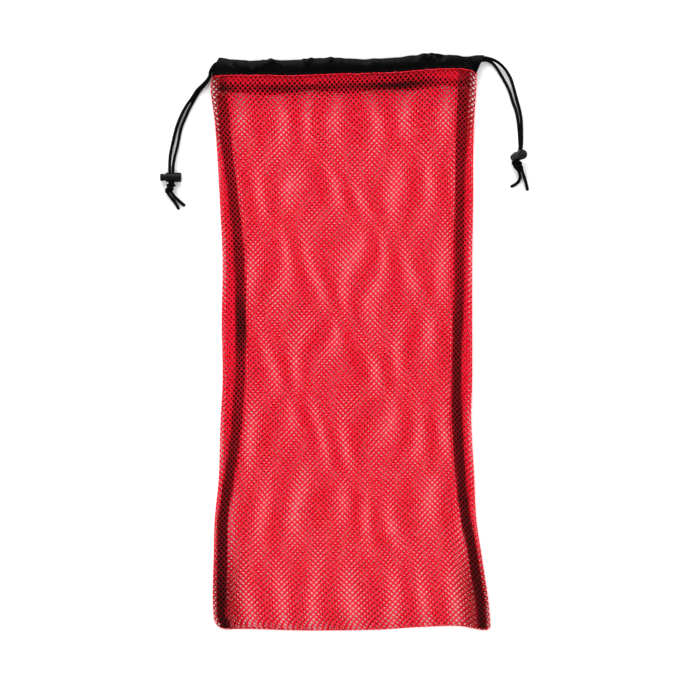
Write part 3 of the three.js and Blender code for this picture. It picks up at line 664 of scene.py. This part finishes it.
def stitchRow(points, up, name, look, slotName):
    length = arcLengths(points)
    count = int(length[-1] // look["every"])
    starts = (np.arange(count)[:, None] + 0.5) * look["every"]
    shares, sides = np.linspace(-0.5, 0.5, 4), stitch["sides"]
    places = starts + shares * look["long"]
    line = np.stack([np.interp(places, length, points[:, k]) for k in range(3)], -1)
    aside = np.cross(up, unit(line[:, -1] - line[:, 0]))[:, None, None]
    turn = np.arange(sides)[:, None] * 2 * math.pi / sides
    rise = stitch["rise"] - stitch["arch"] * shares[:, None, None] ** 2
    radius = np.where(np.abs(shares) < 0.4, stitch["radius"], stitch["endRadius"])[:, None, None]
    section = up * (rise + radius * np.sin(turn)) + aside * radius * np.cos(turn)
    corners = (line[:, :, None] + look["thick"] * section).reshape(-1, 3)
    k, side = np.meshgrid(range(3), range(sides), indexing="ij")
    here, after = k * sides + side, k * sides + (side + 1) % sides
    shape = np.stack([after, here, here + sides, after + sides], -1).reshape(-1, 4).tolist()
    shape += [range(sides), range(4 * sides - 1, 3 * sides - 1, -1)]
    faces = [[first + corner for corner in face] for first in range(0, len(corners), 4 * sides) for face in shape]
    return meshPiece(name, corners, faces, "black thread", slotName)


def clothPiece(name, grid, uv, flipped, material, slotName, cloth, node):
    faces = gridFaces(*grid.shape[:2])
    if flipped:
        faces = [face[::-1] for face in faces]
    piece = meshPiece(name, grid.reshape(-1, 3), faces, material, slotName, uv.reshape(-1, 2))
    applied(piece, "SOLIDIFY", thickness=cloth * mm, offset=0)
    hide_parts(node)


def roofAt(x, y):
    distance = np.clip(y - bottomLine - foldRise(acrossAt(x, 20.0)) * bag["length"], 0, netLength)
    left, right = sideEdge("Left", distance), sideEdge("Right", distance)
    return gridHeight("front", (x + left) / (left + right), distance / netLength)


tapeStitch = {"every": 3.4, "long": 2.7, "thick": 0.42, "inset": 1.7}
for side, sign, seed in (("Left", -1, 5), ("Right", 1, 9)):
    rows = stripRows("side_binding_" + side.lower())
    inner, outer, lowest = (smoothTable(rows, column) for column in (1, 2, 3))
    y = np.arange(rows[0][0] - tape["runsOn"], rows[-1][0], tape["step"])
    middle = (inner(y) + outer(y)) / 2
    along = (y - y[0]) / (y[-1] - y[0])
    waver = tape["waver"] * slowWaves(tape["waves"][0] * along, 0 * along, seed)
    ripple = tape["ripple"] * slowWaves(tape["waves"][1] * along, 0 * along, seed + 1)
    grid, uv = [], []
    for (out, height), place in zip(tape["section"], arcLengths(np.array(tape["section"]))):
        share = 0.4 * (1 + max(height - tape["upperLeaf"], 0)) * (out / tape["halfWidth"] + 1) / 2
        x = sign * (middle + waver + out)
        z = np.maximum(lowest(y) + height + ripple * share, tape["lowest"])
        z = np.minimum(z, roofAt(x, y) - tape["underNet"] + 0.1 * (height - tape["top"]))
        grid.append(np.stack([x, y, z], 1))
        uv.append(np.stack([y, np.full_like(y, place)], 1))
    grid, uv = np.array(grid), np.array(uv)
    node = "side_binding_" + side.lower()
    clothPiece(f"seamTape{side}", grid, uv, side == "Left", "binding tape", "tape", tape["cloth"], node)
    share = 1 - tapeStitch["inset"] / tape["halfWidth"]
    line = grid[-2] * (1 - share) + grid[-1] * share
    line[:, 2] += tape["cloth"] / 2
    stitchRow(line, np.array([0, 0, 1.0]), f"tapeStitches{side}", tapeStitch, "tape")
print("tapes sewn")

# Black nylon hem: outer leaf, round the channel and down as the facing
hem = {
    "rows": 46, "columns": 320, "cloth": 0.45, "facingWave": 2.2, "bulge": 0.35, "seamPucker": 0.18,
    "puckerEvery": 7.5, "puckerUp": 0.35, "leafEnd": (0.45, 0.6), "facingFrom": (0.6, 0.78), "lowest": 0.3,
    "wrinkles": 40, "wrinkleHeight": 1.45, "wrinklePlace": (-158, 142), "wrinkleLean": (-16, 16),
    "wrinkleWidth": (1.3, 4.2), "wrinkleRise": (-0.8, 1), "wrinkleReach": (0.35, 0.95),
    # place along the section, share of the hem's height, depth under its outer face, drop below the seam
    "section": [
        (0, 0, 0.55, 0), (0.05, 0.08, 0.35, 0), (0.12, 0.28, 0.2, 0), (0.22, 0.52, 0.3, 0), (0.3, 0.76, 0.85, 0),
        (0.35, 0.9, 1.5, 0), (0.39, 0.97, 2.2, 0), (0.42, 0.99, 3.0, 0), (0.45, 0.97, 4.0, 0), (0.49, 0.9, 4.9, 0),
        (0.54, 0.78, 5.4, 0), (0.62, 0.55, 5.5, 0), (0.68, 0.38, 4.6, 0), (0.73, 0.24, 3.4, 0), (0.77, 0.12, 3.0, 0),
        (0.82, 0, 2.95, 0.5), (1, 0, 2.95, bag["facingDrop"]),
    ],
}
hemUp, hemDepth, hemDrop = (smoothTable(hem["section"], column) for column in (1, 2, 3))


def hemWrinkles(x, up, seed):
    draw = random.Random(seed)
    total = np.zeros(x.shape)
    for _ in range(hem["wrinkles"]):
        middle, lean, wide, rise, reach = (
            draw.uniform(*hem["wrinkle" + kind]) for kind in ("Place", "Lean", "Width", "Rise", "Reach")
        )
        ridge = np.exp(-(((x - middle - lean * (1 - up)) / (wide * (0.5 + up))) ** 2))
        total += rise * hem["wrinkleHeight"] * ridge * ramp(up, 1 - reach, 1.05 - reach / 3)
    return total


def hemGrid(face, seed):
    at = np.linspace(0, 1, hem["rows"])[:, None]
    s = np.linspace(0, 1, hem["columns"] + 1)[None, :]
    up, depth, drop = hemUp(at), hemDepth(at), np.maximum(hemDrop(at), 0)
    inside = ramp(at, *hem["facingFrom"])
    ends = []
    for side in ("Left", "Right"):
        begin = bag["slantStart" + side]
        slant = bag["slant" + side] * np.maximum(up - begin, 0) / (1 - begin)
        ends.append(sideEdge(side, netLength) - (slant * (1 - inside) + bag["facingInset"] * inside))
    x = -ends[0] + (ends[0] + ends[1]) * s
    across = acrossAt(x, netLength)
    wave = 1 + hem["facingWave"] / bag["facingDrop"] * slowWaves(2 * s, 0 * s, seed + 3)
    y = seamY(across) + up * hemShare(across) * bag["casingHeight"] - drop * wave
    outer = 1 - ramp(at, *hem["leafEnd"])
    lift = hemWrinkles(x, np.clip(up, 0, 1), seed) + hem["bulge"] * np.sin(math.pi * np.clip(up, 0, 1))
    pucker = np.sin(2 * math.pi * x / hem["puckerEvery"] + 2 * slowWaves(3 * s, 0 * s, seed + 5))
    lift = lift + hem["seamPucker"] * pucker * (1 - ramp(up, 0, hem["puckerUp"]))
    lift = lift * outer
    away = np.array([hemUp(at + 0.01) - hemUp(at - 0.01), hemDepth(at + 0.01) - hemDepth(at - 0.01)])
    away[0] *= bag["casingHeight"]
    away /= np.linalg.norm(away, axis=0) + 1e-9
    y = y + lift * away[1] * outer
    if face == "Front":
        z = hemTop(x) - depth + lift * away[0]
    else:
        z = np.maximum(depth - 0.5 * lift * away[0], hem["lowest"])
    points = np.stack([x, y, z], -1)
    section = arcLengths(np.hstack([up * bag["casingHeight"] - drop, depth]))
    return points, np.stack([x, np.broadcast_to(section[:, None], x.shape)], -1)


# rows: the ones of the hem's grid that the stitches lie on
hemStitch = {"every": 3.1, "long": 2.5, "thick": 0.4, "rows": {"Lower": 3, "Facing": 43}}
for face, seed, up in (("Front", 8, 1.0), ("Back", 15, -1.0)):
    points, uv = hemGrid(face, seed)
    flipped = face == "Back"
    clothPiece(f"hem{face}", points, uv, flipped, "hem nylon", "hem", hem["cloth"], f"casing_{face.lower()}")
    for label, row in hemStitch["rows"].items():
        line = points[row].copy()
        line[:, 2] += up * hem["cloth"] / 2
        stitchRow(line, np.array([0, 0, up]), f"hemStitches{face}{label}", hemStitch, "hem")
print("hem sewn")

# The net's own turned edge under the hem, and the rolled welt below it
# the turned edge's shade is painted shade, darker as if lying in shadow under the hem
turnIn = {"columns": 60, "halfRows": 7, "reach": 0.95, "thick": 0.2, "seed": 31, "from": 0.972, "to": 1.002,
          "depth": 2.45, "end": 0.95, "shade": (0.45, 0.65, 0.3)}
# place across, depth of the turned edge in millimetres
turnInRows = [(-1, 8), (-0.86, 9), (-0.62, 10.5), (-0.5, 8), (-0.3, 10), (-0.1, 8.5), (0.1, 9), (0.25, 6), (0.4, 4.5),
              (0.55, 5.5), (0.66, 9), (0.72, 12), (0.93, 12.5), (1, 10)]
turnInDepth = smoothTable(turnInRows, 1)


def turnInSurface(face):
    def surface(u, v):
        x, y = netPlan(u, v)
        z = hemTop(x) - turnIn["depth"] if face == "Front" else np.full(x.shape, turnIn["depth"])
        return np.stack([x, y, z], -1)

    return surface


def keepTurnIn(points):
    x, y = points[:, 0], points[:, 1]
    across = acrossAt(x, netLength)
    return (y > seamY(across) - turnInDepth(across)) & (np.abs(across) < turnIn["end"])


for face in ("Front", "Back"):
    latticeNet(f"netTurn{face}", turnIn, turnInSurface(face), keep=keepTurnIn)

welt = {"radius": 0.5, "below": 0.35, "depth": 0.75, "inset": 2.5, "waver": 0.45, "points": 120, "sides": 10,
        "step": 0.6, "twistEvery": 2.6, "twistDepth": 0.22}


def twisted(turn, place):
    return 1 + welt["twistDepth"] * np.cos(2 * turn + 2 * math.pi * place / welt["twistEvery"])


for face, seed in (("Front", 71), ("Back", 75)):
    left, right = (sideEdge(side, netLength) - welt["inset"] for side in ("Left", "Right"))
    x = np.linspace(-left, right, welt["points"])
    waver = welt["waver"] * slowWaves(9 * np.linspace(0, 1, len(x)), np.zeros(len(x)), seed)
    y = seamY(acrossAt(x, netLength)) - welt["below"] + waver
    z = hemTop(x) - welt["depth"] if face == "Front" else np.full_like(x, welt["depth"])
    path = steadyPath(np.stack([x, y, z], 1), welt["step"])
    meshPiece(f"welt{face}", *sweptTube(path, welt["radius"], welt["sides"], twisted), "welt yarn", "net")
print("welts laid")

# Free cords: from the hem's channel through the lock and the knot to the loose end (millimetres)
cord = {
    "diameter": 3.5, "near": 4.4, "pitch": 3.8, "inHem": 7.7, "alongLock": (9, 0, -5.8), "inKnot": (0.3, 0.55, 0.8),
    "step": 0.42, "sides": 30, "endTaper": (0.93, 0.72), "plaitEvery": 1.9, "plaitDepth": 0.16, "core": 1.0,
}
routes = {
    "LeftFront": [
        (-156.8, 316, 9.5), (-159.7, 310.6, 9.3), (-160.8, 305.2, 9), (-163.6, 300.6, 8.6), (-169.2, 295, 7.8),
        (-175.4, 289, 6.8), (-181.3, 280, 5.4), (-188, 270.8, 3.9), (-194.2, 259.3, 2.6), (-199, 246.7, 1.9),
        (-203, 230.7, 1.9), (-205.8, 217, 3), (-206.6, 205, 5.1),
    ],
    "LeftBack": [
        (-156.8, 316, 3.1), (-159.7, 310.6, 3), (-160.8, 305.2, 2.8), (-163.2, 300.4, 2.4), (-167, 295.6, 2),
        (-171.8, 289.8, 1.9), (-178, 280, 1.9), (-183.7, 269.6, 1.9), (-188.9, 258.2, 1.9), (-193.6, 246.7, 1.9),
        (-196, 235.3, 1.9), (-198.3, 223.8, 2.2), (-200.9, 213.5, 3.6), (-202.5, 204, 5.2),
    ],
    "RightFront": [
        (147.5, 324.4, 9.5), (153.6, 326.4, 9.2), (159.5, 325.6, 8.5), (165.1, 323.9, 7.6), (171.2, 320.5, 6.4),
        (177.2, 315, 5), (181.9, 308.6, 3.6), (185.6, 301.1, 2.4), (188.5, 291.4, 1.9), (191.9, 278.8, 1.9),
        (195.3, 266.2, 2.2), (196.9, 254.8, 4.2), (197.1, 243.3, 7.1), (197, 231.9, 10.7),
    ],
    "RightBack": [
        (147.5, 323, 3), (153.6, 324.2, 2.7), (159, 323.6, 2.3), (164, 320.9, 2), (168, 316.2, 1.9),
        (171.2, 311.4, 1.9), (173.9, 307.1, 1.9), (177, 301.7, 1.9), (180.7, 294.8, 1.9), (184.1, 286.8, 1.9),
        (187.2, 276.5, 1.9), (191, 266.2, 1.9), (193.2, 254.8, 2.2), (194.2, 243.3, 4), (194.7, 231.9, 6.9),
    ],
}
looseEnds = {
    "LeftFront": [(-204.2, 165.2, 2.6), (-199.9, 159.7, 1.9), (-196.1, 152.9, 1.9)],
    "LeftBack": [(-200.4, 166.8, 2.6), (-195.2, 162, 1.9), (-189.3, 156.9, 1.9)],
    "RightFront": [(200.3, 190.6, 2.6), (202, 185, 1.9), (204.4, 174.6, 1.9)],
    "RightBack": [(195.6, 190, 2.4), (194, 185.2, 1.9), (190.1, 181.4, 1.9), (184.9, 178.8, 1.9)],
}
locks = {
    "Left": {"rim": (-211, 189.5, 5.6), "heading": 0, "tilt": 0, "roll": 0, "firstCord": "Front"},
    "Right": {"rim": (190.5, 213, 7.8), "heading": 15, "tilt": 65, "roll": -33, "firstCord": "Back"},
}
# below: from the lock's axis to the knot, which is the barrel's radius and a gap
knots = {
    "Left": {"below": 6.1, "end": (-206.7, 172, 4.6), "leaves": (0.55, -0.8, -0.2), "radius": 5.2,
             "onRight": "Front", "turns": 2.6, "startTurn": 0.15},
    "Right": {"below": 6.1, "end": (195.9, 196.9, 4.8), "leaves": (0.35, -0.9, -0.3), "radius": 6.1,
              "onRight": "Back", "turns": 2.7, "startTurn": 0.6},
}


def lockMatrix(side):
    lock = locks[side]
    turn = Euler([math.radians(angle) for angle in (lock["roll"], -lock["tilt"], lock["heading"])], "XYZ")
    matrix = turn.to_matrix().to_4x4()
    matrix.translation = Vector(lock["rim"])
    return matrix


def lockPassage(side, face, along):
    first = locks[side]["firstCord"] == face
    return np.array(lockMatrix(side) @ Vector((cord["near"] + (0 if first else cord["pitch"]), along, 0)))


def channelPoint(face, x):
    across = acrossAt(x, netLength)
    y = seamY(across) + bag["channelShare"] * hemShare(across) * bag["casingHeight"]
    z = hemTop(x) - bag["casingDepth"] / 2 if face == "Front" else bag["casingDepth"] / 2
    return np.array([float(x), float(y), float(z)])


# A curve through all the points
def smoothPath(points, step):
    pointsBetween = 24
    p = np.vstack([2 * points[0] - points[1], points, 2 * points[-1] - points[-2]])
    dense = []
    for i in range(1, len(p) - 2):
        d = [max(np.linalg.norm(p[i + k] - p[i + k - 1]) ** 0.5, 1e-4) for k in range(3)]
        start = ((p[i] - p[i - 1]) / d[0] - (p[i + 1] - p[i - 1]) / (d[0] + d[1]) + (p[i + 1] - p[i]) / d[1]) * d[1]
        end = ((p[i + 1] - p[i]) / d[1] - (p[i + 2] - p[i]) / (d[1] + d[2]) + (p[i + 2] - p[i + 1]) / d[2]) * d[1]
        t = np.linspace(0, 1, pointsBetween, endpoint=False)[:, None]
        dense.append(
            p[i] * (2 * t**3 - 3 * t**2 + 1) + p[i + 1] * (3 * t**2 - 2 * t**3)
            + start * (t**3 - 2 * t**2 + t) + end * (t**3 - t**2)
        )
    return steadyPath(np.vstack([*dense, p[-2:-1]]), step)


def knotAxis(side):
    knot = knots[side]
    start = (lockPassage(side, "Front", -knot["below"]) + lockPassage(side, "Back", -knot["below"])) / 2
    end = np.array(knot["end"], float)
    onward = np.array(lockMatrix(side).to_3x3() @ Vector((0, -1, 0)))
    third = np.linalg.norm(end - start) / 3
    return start, start + onward * third, end - unit(knot["leaves"]) * third, end


def bezier(corners, t):
    a, b, c, d = corners
    t = np.asarray(t, float)[..., None]
    return a * (1 - t) ** 3 + 3 * b * t * (1 - t) ** 2 + 3 * c * t * t * (1 - t) + d * t**3


def cordPath(side, face):
    sign = -1 if side == "Left" else 1
    start = sideEdge(side, netLength) - cord["inHem"]
    hidden = [channelPoint(face, sign * (start + step)) for step in (0, cord["diameter"])]
    through = [lockPassage(side, face, along) for along in cord["alongLock"]]
    knot = knots[side]
    onward = unit(knot["leaves"])
    right = unit(np.cross(onward, (0, 0, 1.0)))
    onRight = 1 if face == knot["onRight"] else -1
    axis = knotAxis(side)
    apart = unit(through[-1] - axis[0])
    inside = []
    for t in cord["inKnot"]:
        offset = unit(apart * (1 - t) + right * onRight * t) * cord["core"]
        inside.append(bezier(axis, t) + offset)
    leave = axis[3] + onward * 0.3 + right * onRight * cord["pitch"] / 2
    bend = leave + onward * cord["diameter"] / 2
    label = side + face
    return np.array([*hidden, *routes[label], *through, *inside, leave, bend, *looseEnds[label]], float)


def plaited(turn, place):
    k = math.pi / cord["plaitEvery"]
    bump = np.abs(np.sin(4 * turn + k * place)) * np.abs(np.sin(4 * turn - k * place))
    return 1 + cord["plaitDepth"] * (bump - 0.55)


freeCords = {}
for side in ("Left", "Right"):
    for face in ("Front", "Back"):
        path = smoothPath(cordPath(side, face), cord["step"])
        taper = np.ones(len(path))
        taper[-2:] = cord["endTaper"]
        tube = sweptTube(path, cord["diameter"] / 2, cord["sides"], plaited, taper)
        piece = meshPiece(f"cord{side}{face}", *tube, "braided cord", "cord")
        nodes = f"{side.lower()}_{face.lower()}"
        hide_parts(f"cord_{nodes}", f"tail_{nodes}")
        freeCords[side + face] = (piece, path)
print("cords laid")

# Knots below the locks: wraps round the two cords, with one strand over them
knotLook = {"strand": 1.7, "sides": 18, "step": 0.45, "points": 160, "sunk": 0.92, "tuck": 0.08, "tucked": 0.35,
            "wrapsReach": (0.06, 0.96), "overReach": (0.1, 0.92), "overTurns": 0.45, "overFrom": 0.3,
            "overShare": 1.12}
# place along the knot, its radius as a share
knotRows = {
    "Left": [(0, 0.62), (0.12, 0.95), (0.26, 1), (0.4, 0.9), (0.52, 0.94), (0.68, 0.9), (0.84, 0.82), (1, 0.55)],
    "Right": [(0, 0.8), (0.14, 1), (0.3, 0.96), (0.5, 0.85), (0.7, 0.74), (0.86, 0.66), (1, 0.52)],
}


def knotPath(side, turns, startTurn, share, length):
    t = np.linspace(*length, knotLook["points"])
    middle = bezier(knotAxis(side), t)
    ahead = unit(np.gradient(middle, axis=0))
    sideways = unit(np.cross(ahead, (0, 0, 1.0)))
    upward = np.cross(sideways, ahead)
    place = (t - length[0]) / (length[1] - length[0])
    turn = 2 * math.pi * (startTurn + turns * place)
    radius = smoothTable(knotRows[side], 1)(t) * knots[side]["radius"] - knotLook["strand"] * knotLook["sunk"]
    tuck = ramp(place, 0, knotLook["tuck"]) * ramp(1 - place, 0, knotLook["tuck"])
    reach = radius * share * (knotLook["tucked"] + (1 - knotLook["tucked"]) * tuck)
    return middle + sideways * (reach * np.cos(turn))[:, None] + upward * (reach * np.sin(turn))[:, None]


knotPieces = {}
for side in ("Left", "Right"):
    turns, start = knots[side]["turns"], knots[side]["startTurn"]
    wraps = knotPath(side, turns, start, 1, knotLook["wrapsReach"])
    over = knotPath(
        side, -knotLook["overTurns"], start + knotLook["overFrom"], knotLook["overShare"], knotLook["overReach"]
    )
    parts = []
    for label, line in (("Wraps", wraps), ("Over", over)):
        tube = sweptTube(steadyPath(line, knotLook["step"]), knotLook["strand"], knotLook["sides"], plaited)
        parts.append(meshPiece(f"knot{side}{label}", *tube, "braided cord", "cord"))
    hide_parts(f"knot_{side.lower()}")
    knotPieces[side] = parts
print("knots tied")

# Cord locks: a barrel with a bore and a slot for the cords, and a plunger that slides in it
barrel = {
    "sides": 48,
    # place along the axis from the rim, radius
    "rings": [(16.2, 4.35), (0.5, 4.35), (0.15, 4.55), (0, 4.85), (0.05, 5.15), (0.4, 5.45), (0.8, 5.5), (2.0, 5.5),
              (2.15, 5.3), (2.6, 5.3), (2.75, 5.5), (14.6, 5.5), (14.75, 5.32), (15.2, 5.32), (15.35, 5.5),
              (16.7, 5.5), (17.3, 5.35), (17.68, 4.95), (17.8, 4.3), (17.8, 2.6), (17.62, 2.3), (17.62, 0.8)],
}
plunger = {
    "sides": 48,
    "rings": [(-6.25, 0.9), (-6.25, 1.9), (-6.45, 2.2), (-6.5, 2.9), (-6.42, 3.5), (-6.15, 3.95), (-5.6, 4.25),
              (-5.0, 4.3), (-3.9, 4.3), (-3.5, 4.22), (-3.3, 4.0), (11.8, 4.0), (12.2, 3.6), (12.2, 1.5)],
}
slotCutter = {"sides": 40, "radius": 2.1, "depth": 24}
stroke = 3
lockEdgeAngle = 34


def turnedPiece(name, look):
    rings = look["rings"]
    bpy.ops.mesh.primitive_circle_add(
        vertices=look["sides"], radius=rings[0][1] * mm, fill_type="NGON", location=(rings[0][0] * mm, 0, 0),
        rotation=(0, math.pi / 2, 0),
    )
    piece = bpy.context.object
    piece.name = name
    bpy.ops.object.transform_apply(location=True, rotation=True, scale=True)
    bpy.ops.object.mode_set(mode="EDIT")
    bpy.ops.mesh.select_all(action="SELECT")
    for before, after in zip(rings, rings[1:]):
        bpy.ops.mesh.extrude_region_move(TRANSFORM_OT_translate={"value": ((after[0] - before[0]) * mm, 0, 0)})
        share = after[1] / before[1]
        bpy.ops.transform.resize(value=(1, share, share), center_override=(after[0] * mm, 0, 0))
    bpy.ops.mesh.select_all(action="SELECT")
    bpy.ops.mesh.normals_make_consistent(inside=False)
    bpy.ops.object.mode_set(mode="OBJECT")
    return piece


def cutSlot(piece, first, last):
    bpy.ops.mesh.primitive_cylinder_add(
        vertices=slotCutter["sides"], radius=slotCutter["radius"] * mm, depth=slotCutter["depth"] * mm,
        location=(first * mm, 0, 0), rotation=(math.pi / 2, 0, 0),
    )
    cutter = bpy.context.object
    bpy.ops.object.transform_apply(location=True, rotation=True, scale=True)
    for vertex in cutter.data.vertices:
        if vertex.co.x > first * mm + 1e-6:
            vertex.co.x += (last - first) * mm
    applied(piece, "BOOLEAN", operation="DIFFERENCE", solver="EXACT", object=cutter)
    bpy.data.objects.remove(cutter, do_unlink=True)


def finishLockPart(piece, side, node, body):
    matrix = lockMatrix(side)
    matrix.translation *= mm
    piece.data.transform(matrix)
    piece.data.materials.clear()
    piece.data.materials.append(materials["moulded plastic"])
    chooseOnly(piece)
    bpy.ops.object.shade_smooth_by_angle(angle=math.radians(lockEdgeAngle))
    piece.select_set(False)
    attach(piece, body)
    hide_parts(node)


lockPieces = {}
for side in ("Left", "Right"):
    body = turnedPiece(f"lockBarrel{side}", barrel)
    cutSlot(body, cord["near"], cord["near"] + cord["pitch"])
    finishLockPart(body, side, f"lock_barrel_{side.lower()}", "bag")
    stem = turnedPiece(f"lockPlunger{side}", plunger)
    cutSlot(stem, cord["near"] - stroke, cord["near"] + cord["pitch"])
    finishLockPart(stem, side, f"lock_plunger_{side.lower()}", f"plunger_{side.lower()}")
    lockPieces[side] = (body, stem)

for label, (piece, path) in freeCords.items():
    side = "Left" if label.startswith("Left") else "Right"
    held = [*knotPieces[side], *lockPieces[side]] if label.endswith("Front") else []
print("locks fitted")

for face in ("front", "back"):
    hidden = bpy.data.objects[f"drawcord_{face}"]
    for place in hidden.material_slots:
        place.material = materials["braided cord"]

# Floor, light and air
# The faint red glow under the bag stands for light that comes through its yarn. glowBox: middle and half size
studio = {"floorSize": 14, "floorHeight": -0.0004, "floorColour": 0.66, "world": 0.12, "floorGlow": 0.28,
          "glowColour": (1, 0.02, 0.05), "glowBox": ((0.004, 0.15), (-0.02, 0.31)), "glowEdge": 0.03}
bpy.ops.mesh.primitive_plane_add(size=studio["floorSize"], location=(0, 0, studio["floorHeight"]))
floor = bpy.context.object
floor.name = "floor"
paper = bpy.data.materials.new("paper")
paper.use_nodes = True
paperTree = paper.node_tree
place = addNode(paperTree, "TexCoord").outputs["Object"]
place = addNode(paperTree, "SeparateXYZ", {0: place}).outputs
glow = studio["floorGlow"]
for along, (middle, half) in zip(place, studio["glowBox"]):
    off = mathNode(paperTree, "ABSOLUTE", mathNode(paperTree, "SUBTRACT", along, middle))
    inside = mathNode(paperTree, "DIVIDE", mathNode(paperTree, "SUBTRACT", half, off), studio["glowEdge"])
    inside.node.use_clamp = True
    glow = mathNode(paperTree, "MULTIPLY", inside, glow)
setInputs(paperTree, paperTree.nodes["Principled BSDF"], {
    "Base Color": (*[studio["floorColour"]] * 3, 1), "Roughness": 0.9, "Specular IOR Level": 0.1,
    "Emission Color": (*studio["glowColour"], 1), "Emission Strength": glow,
})
floor.data.materials.append(paper)

world = bpy.data.worlds.new("air")
bpy.context.scene.world = world
world.use_nodes = True
setInputs(world.node_tree, world.node_tree.nodes["Background"], {"Color": (1, 1, 1, 1), "Strength": studio["world"]})

lamps = {
    "lampBehind": {"place": (-0.5, 2.4, 1.7), "size": 2.6, "power": 155},
    "lampRight": {"place": (2.2, -0.2, 1.8), "size": 2.6, "power": 112},
    "lampLeft": {"place": (-2.1, -0.9, 1.8), "size": 2.6, "power": 112},
}
for name, lamp in lamps.items():
    bpy.ops.object.light_add(type="AREA", location=lamp["place"])
    light = bpy.context.object
    light.name = name
    light.data.size = lamp["size"]
    light.data.energy = lamp["power"]
    light.rotation_euler = (-Vector(lamp["place"])).to_track_quat("-Z", "Y").to_euler()
print("studio lit")

# The cloth as it was cut, metres: width, length, and for a net the area of its yarn, without the openings
sheets = {
    "netBack": (0.294, 0.638, 0.13, "laid", "floor", ["netTurnBack", "weltBack"]),
    "netFront": (0.294, 0.638, 0.13, "laid", "netBack", ["netEdge", "netTurnFront", "weltFront"]),
    "hemBack": (0.306, 0.062, None, "folded", "floor", ["hemStitchesBackLower", "hemStitchesBackFacing"]),
    "hemFront": (0.306, 0.061, None, "folded", "hemBack", ["hemStitchesFrontLower", "hemStitchesFrontFacing"]),
    "seamTapeLeft": (0.0244, 0.614, None, "folded", "netBack", ["tapeStitchesLeft"]),
    "seamTapeRight": (0.0244, 0.62, None, "folded", "netBack", ["tapeStitchesRight"]),
}
seamNets = [f"seamNet{side}{layer}" for side in ("Left", "Right") for layer in seamNet["layers"]]
sheets.update({name: (0.0143, 0.61, 0.0052, "folded", "netBack", []) for name in seamNets})
for name, (width, length, area, held, under, sewn) in sheets.items():
    piece = bpy.data.objects[name]
